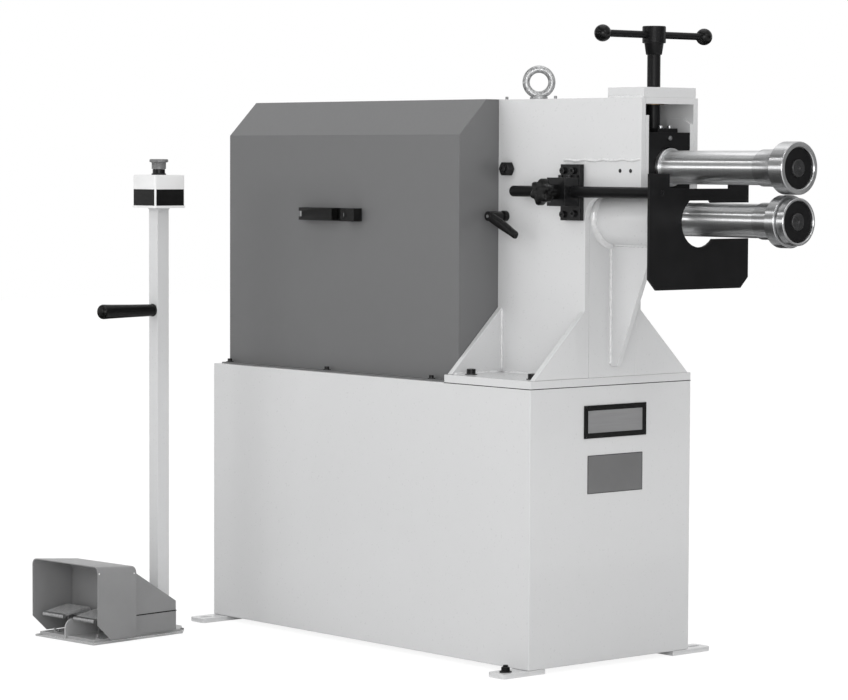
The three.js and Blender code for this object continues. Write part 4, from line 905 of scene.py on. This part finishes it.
def make_block_fittings(middle_y):
    """The slide block's face screw, its retaining plate with four screws, and the cap on the yoke."""
    low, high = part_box("slide_block")
    spot = Vector((mid("pressure_screw").x, middle_y, high.z))
    hole = 17
    bm = bmesh.new()
    cap_screw(bm, (high.x, middle_y, high.z - 11 * MM), X, 4.5, 3)
    finish(bm, "block_face_screw", "steel", "slide_block")
    bm = bmesh.new()
    pierced(bm, off(spot, -40, -27, -0.2), off(spot, 40, 27, 8), spot, hole)
    finish(bm, "block_retainer", "black_steel", "slide_block", bevel=(0.8, 2))
    bm = bmesh.new()
    for x in (-32, 32):
        for y in (-12, 12):
            cap_screw(bm, off(spot, x, y, 8), Z, 4.5, 5.5)
    finish(bm, "block_top_screws", "steel", "slide_block")
    # The cap reaches further back than its node and stands flush with the side plates
    low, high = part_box("screw_nut_block")
    bm = bmesh.new()
    pierced(bm, off(low, -9.5, 0, -0.3), high, spot, hole)
    finish(bm, "yoke_cap", "paint", "machine", replaces="screw_nut_block", bevel=(0.9, 2))


def make_fasteners():
    low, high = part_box("cabinet_shell")
    middle_y, front = (low.y + high.y) / 2, high.x
    make_machine_screws(Vector((front, middle_y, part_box("head_base_plate")[1].z)))
    bm = bmesh.new()
    for x in (-249.5, -106):
        hex_head(bm, off((front, middle_y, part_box("head_top_plate")[1].z), x, -60), Z, 6, 6)
    finish(bm, "head_top_screws", "steel", "machine")
    make_foot_anchor()
    make_block_fittings(middle_y)
    # A black strip in the joint between the cabinet and the plate on it: painted shade of the gap
    low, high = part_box("head_base_plate")
    proud = 0.06
    bm = bmesh.new()
    block(bm, off(low, -proud, -proud, -1.1), off((high.x, high.y, low.z), proud, proud, 0.1))
    finish(bm, "base_gap_shade", "rubber", "machine")
    rod = mid("gauge_rod")
    bm = bmesh.new()
    cap_screw(bm, (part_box("stop_plate")[1].x, rod.y, rod.z), X, 6, 1.2)
    finish(bm, "stop_plate_screw", "black_steel", "gauge")


def make_plates():
    """Two bare plates on the cabinet's front: one in a black rim with corner rivets, one plain."""
    low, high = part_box("cabinet_shell")
    foot = Vector((high.x, (low.y + high.y) / 2, low.z))
    low, high = off(foot, 0, -77.5, 446.5), off(foot, 0, 94, 511.8)
    bm = bmesh.new()
    rim(bm, low, high, 10.5, 2.2)
    finish(bm, "name_plate_rim", "black_plastic", "machine", bevel=(0.5, 2))
    bm = bmesh.new()
    block(bm, off(low, 0, 10, 10), off(high, 1.2, -10, -10))
    finish(bm, "name_plate", "plate", "machine", bevel=(0.2, 2))
    bm = bmesh.new()
    for y in (low.y + 5 * MM, high.y - 5 * MM):
        for z in (low.z + 5 * MM, high.z - 5 * MM):
            turned(bm, mm([(0, 2.4), (0.5, 2.3), (0.9, 1.6), (1.1, 0.6)]), along(X, (low.x + 2.2 * MM, y, z)), 24)
    finish(bm, "name_plate_rivets", "black_steel", "machine", angle=60)
    low, high = off(foot, 0, -66.7, 336.5), off(foot, 0, 84.7, 412.5)
    bm = bmesh.new()
    block(bm, low, off(high, 0.8))
    finish(bm, "data_plate", "tag", "machine", bevel=(0.2, 2))
    bm = bmesh.new()
    rim(bm, off(low, 0.8), off(high, 0.8), 1.2, 0.15)
    finish(bm, "data_plate_rim", "black_plastic", "machine")


def make_latch_details():
    """The lock in the latch's base and its keyway."""
    low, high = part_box("latch_base")
    line = along(-Y, (high.x - 31 * MM, low.y, (low.z + high.z) / 2))
    lathe("latch_lock", "black_steel", "machine",
          mm([(-2, 7.5), (0.6, 7.5), (1, 7), (1, 5.4), (0.5, 5.2), (0.5, 0.6)]), line, 40, angle=25)
    bm = bmesh.new()
    block(bm, (-0.7 * MM, -3.4 * MM, 0.45 * MM), (0.7 * MM, 3.4 * MM, 0.75 * MM), line)
    finish(bm, "latch_keyway", "steel", "machine")


def make_welds():
    """Weld beads of the gussets, and the filler and beads that show on the head."""
    low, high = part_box("head_base_plate")
    floor = high.z + 0.6 * MM
    rear, front = low.x + 0.3 * MM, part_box("head_front_plate")[1].x
    bm = bmesh.new()
    for side, way in (("near", -1), ("far", 1)):
        wall = wall_face(side)
        y = wall + way * 0.6 * MM
        for x in (rear + 12.6 * MM, front - 12.6 * MM):
            bead(bm, [(x, y, floor + 4 * MM), (x, y, floor + 127 * MM)], 3.2, seed=x * 90)
            bead(bm, [(x, wall + way * 8 * MM, floor), (x, wall + way * 128 * MM, floor)], 3, seed=x * 50)
        bead(bm, [(rear + 20 * MM, y, floor), (front - 20 * MM, y, floor)], 3, seed=3)
    finish(bm, "head_welds", "weld_paint", "machine", angle=60)
    # A wavy ridge of filler on the near wall, and beads along both sides of the cap on the yoke, in the lighter weld
    # paint, whose extra light is a painted highlight
    wall, level = wall_face("near") + 0.4 * MM, floor + 427.5 * MM
    bm = bmesh.new()
    bead(bm, [(front + (9 * i - 64) * MM, wall, level + (1.2 * math.sin(i * 1.1) + 0.08 * i) * MM)
              for i in range(25)], 3, seed=1)
    low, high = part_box("screw_nut_block")
    for y, seed in ((low.y + 0.5 * MM, 5), (high.y - 0.5 * MM, 6)):
        bead(bm, [(x, y, low.z - 0.1 * MM) for x in (low.x - 8 * MM, high.x - 3 * MM)], 4, seed=seed)
    finish(bm, "filler_ridge", "weld_paint", "machine", angle=60)


# ---- pedal station

STATION_TURN = math.radians(5)
MAST_TURN = math.radians(1)
POST_PLACE = (21, 242)  # mm in the station's own axes
HOOD_RIGHT = 107  # mm from the station's middle to the hood's right wall
TREAD_LINE = [(11, 51.4), (16, 52.2), (44, 58), (62, 60.8), (74, 62), (80, 61.6)]
TREAD_UNDER = [(83.4, 58), (88, 47.5), (88, 42.5), (80, 56.4), (74, 57), (62, 55.6), (44, 52.9), (16, 47)]
TREAD_LIP = [(8, 44), (8, 50), (8.6, 51), (11, 51.6), (16.2, 52.6), (17, 52), (17, 45), (16, 43.4), (9, 43.2)]
# Turns an outline in X and Y to one in Y and Z, thickened along X
SIDEWAYS = Matrix(((0, 0, 1, 0), (1, 0, 0, 0), (0, 1, 0, 0), (0, 0, 0, 1)))


def station_matrix():
    """From the station's own axes, on the floor below the middle of the hood's front, to the frame."""
    post = mid("post")
    turn = Matrix.Rotation(STATION_TURN, 4, "Z")
    place = Vector((post.x, post.y, 0)) - turn @ (Vector((*POST_PLACE, 0)) * MM)
    return Matrix.Translation(place) @ turn


def treadle_height(v):
    """The tread's height at v, both in mm."""
    for (v0, h0), (v1, h1) in zip(TREAD_LINE, TREAD_LINE[1:]):
        if v <= v1:
            return h0 + (h1 - h0) * (v - v0) / (v1 - v0)
    return TREAD_LINE[-1][1]


def make_treadles(base):
    """Bent treadle plates with a front bar and a raised pattern."""
    inner, width = 17, 66
    for name, start in (("left", -inner - width), ("right", inner)):
        matrix = base @ Matrix.Translation((start * MM, 0, 0)) @ SIDEWAYS
        body = f"treadle_{name}"
        bm = bmesh.new()
        prism(bm, mm(TREAD_LINE[1:] + TREAD_UNDER), matrix, width * MM)
        pin = base @ (Vector((start + width / 2, 88, 43)) * MM)
        reach = width / 2 + 4.4
        turned(bm, mm([(-reach, 4.6), (-reach + 0.4, 5), (reach - 0.4, 5), (reach, 4.6)]),
               along((base.to_3x3() @ X).normalized(), pin), 40)
        finish(bm, f"{body}_fine", "tread", body, bevel=(0.8, 2, 40))
        bm = bmesh.new()
        prism(bm, mm(TREAD_LIP), matrix, width * MM)
        finish(bm, f"{body}_bar", "zinc", body, bevel=(0.7, 2, 40))
        bm = bmesh.new()
        for i in range(11):
            for j in range(10 - i % 2):
                v = 20 + 5.4 * i
                spot = base @ (Vector((start + 6 + 6 * (j + (i % 2) / 2), v, treadle_height(v))) * MM)
                turned(bm, mm([(-1, 2), (0.3, 1.9), (0.9, 1.3), (1.1, 0.5)]), along(Z, spot), 12)
        finish(bm, f"{body}_pattern", "zinc", body, angle=70)


def make_box_details(base):
    """The box's seal, the tray's clips, the hood's rivets and the strip that closes its rear."""
    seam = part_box("pedal_box")[1].z
    bm = bmesh.new()
    block(bm, (-96.2 * MM, 98.3 * MM, seam - 0.6 * MM), (96.2 * MM, 224.6 * MM, seam + 1.4 * MM), base)
    finish(bm, "box_seal", "rubber", "station")
    # Sprung clips that hold the tray, one under each treadle
    bm = bmesh.new()
    for u in (-60, 78):
        for half, low, high in ((7, (22, 10), (34, 11.6)), (3, (22, 11.4), (24, 19))):
            block(bm, Vector((u - half, *low)) * MM, Vector((u + half, *high)) * MM, base)
        cap_screw(bm, base @ (Vector((u + 3, 29, 11.6)) * MM), Z, 3, 2.6)
    finish(bm, "tray_clips", "zinc", "station", bevel=(0.3, 2, 40))
    bm = bmesh.new()
    for way in (-1, 1):
        for v, z, inset in ((3.6, 149.4, 0.3), (98, 142.4, 8.4)):
            edge = HOOD_RIGHT - (inset if way < 0 else 0)
            place = base @ (Vector((way * edge, v, z)) * MM)
            turned(bm, mm([(0, 1.7), (0.4, 1.5), (0.8, 0.6)]), along(base.to_3x3() @ (X * way), place), 20)
    finish(bm, "hood_rivets", "case_plastic", "station", slot="paint", angle=60)
    # Strip between the cover's top and the hood's roof
    outline = [(-97, 138), (105.5, 138), (105.5, 147.5), (98.5, 154.6), (-90, 154.6), (-97, 147.5)]
    bm = bmesh.new()
    prism(bm, mm(outline), base @ Matrix.Translation((0, 97.6 * MM, 0)) @ Matrix.Rotation(QUARTER, 4, "X"), 1.6 * MM)
    finish(bm, "hood_strip", "hood_paint", "station", bevel=(0.3, 2))


def make_grip(mast):
    low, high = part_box("carry_grip")
    way = (mast.to_3x3() @ -Y).normalized()
    start = mast @ Vector((0, -15.3 * MM, (low.z + high.z) / 2))
    steps = [(-12, 5), (0, 5), (0, 13), (0.8, 13.5), (3, 13.5), (3.6, 12.6), (60, 13.5), (115, 14.9), (127, 15.4)]
    steps += [(130 + 9 * math.sin(t), 8 + 7.4 * math.cos(t)) for t in arc(9)]
    lathe("carry_grip_fine", "black_plastic", "station", mm(steps), along(way, start), 56, angle=40)


def make_switch(mast):
    """The stop switch: its case with a well, the black panels, the collar, the button and the plate under it."""
    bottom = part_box("estop_case")[0].z
    size, corner, well = 78.6, 4, 14.4
    top = bottom + 69.8 * MM
    rings = [rounded(across * MM, corner * MM, bottom + z * MM) for across, z in
             ((size + 2.4, 0), (size + 2.4, 4), (size + 1.4, 4.8), (size, 5), (size, 67.8), (size - 1.2, 69.2),
              (size - 4, 69.8))]
    rings += [rounded(2 * well * MM, (well - 0.1) * MM, z) for z in (top, top - 7 * MM)]
    bm = bmesh.new()
    loft(bm, rings, mast)
    finish(bm, "estop_case_fine", "case_plastic", "station", slot="paint", angle=38)
    # The black panels of the four sides, between white corner posts
    bm = bmesh.new()
    reach, side = (size / 2 - 3.2) * MM, size / 2 * MM
    for quarter in range(4):
        spin = mast @ Matrix.Rotation(QUARTER * quarter, 4, "Z")
        block(bm, (-reach, side - 0.5 * MM, bottom + 5.1 * MM), (reach, side + 0.35 * MM, bottom + 39.4 * MM), spin)
    finish(bm, "estop_band", "band", "station", bevel=(0.25, 2))
    # A ring round the well, into which the button's neck slides
    line = on_line(Z, mid("post"))
    ring = mm([(-6.6, 13.7), (-6.6, 14.2), (0.1, 14.2), (0.1, 15.5), (2.4, 15.5), (3.2, 14.8), (3.2, 13.7)], top)
    lathe("estop_collar", "black_plastic", "station", ring, line, 56, closed=True, angle=28)
    low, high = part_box("estop_button")
    neck = mm([(0.3, 5), (0.3, 13.3)], top) + mm([(-1, 13.3), (-0.2, 12.6), (-0.2, 5)], low.z)
    lathe("estop_stem_fine", "black_plastic", "estop_stem", neck, line, 56, angle=28)
    button = mm([(0, 7.4), (0, 14.85), (0.4, 15.25)], low.z)
    button += mm([(-8.4, 15.25), (-7.2, 15.85), (-6.2, 19.2), (-5.4, 20), (-2, 20), (-0.8, 19.5), (0, 18), (0, 14),
                  (-0.4, 4), (-0.4, 0.5)], high.z)
    lathe("estop_button_fine", "button_grey", "estop_button", button, line, 72, angle=28)
    # Flared plate between the post's top and the case
    bm = bmesh.new()
    loft(bm, [rounded(across * MM, 2 * MM, bottom - z * MM)
              for across, z in ((30, 5), (31.4, 3.4), (33.6, 1.6), (34.6, 0.1))], mast)
    finish(bm, "post_flare", "paint", "station", angle=60)


def make_station():
    base = station_matrix()
    post = mid("post")
    mast = Matrix.Translation((post.x, post.y, 0)) @ Matrix.Rotation(MAST_TURN, 4, "Z")
    make_treadles(base)
    make_box_details(base)
    make_grip(mast)
    make_switch(mast)


# ---- all together

make_camera()
make_world()
make_floor()
make_cards()
make_lamps()

dress_nodes()
make_shafts()
make_rolls()
make_roll_caps()
make_bearings()
make_pivots()
make_eye_bolt()
make_screw()
make_rod()
make_star_knob()
make_clamp_lever()
make_fasteners()
make_plates()
make_latch_details()
make_welds()
make_station()

bpy.context.scene.view_settings.view_transform = "Standard"
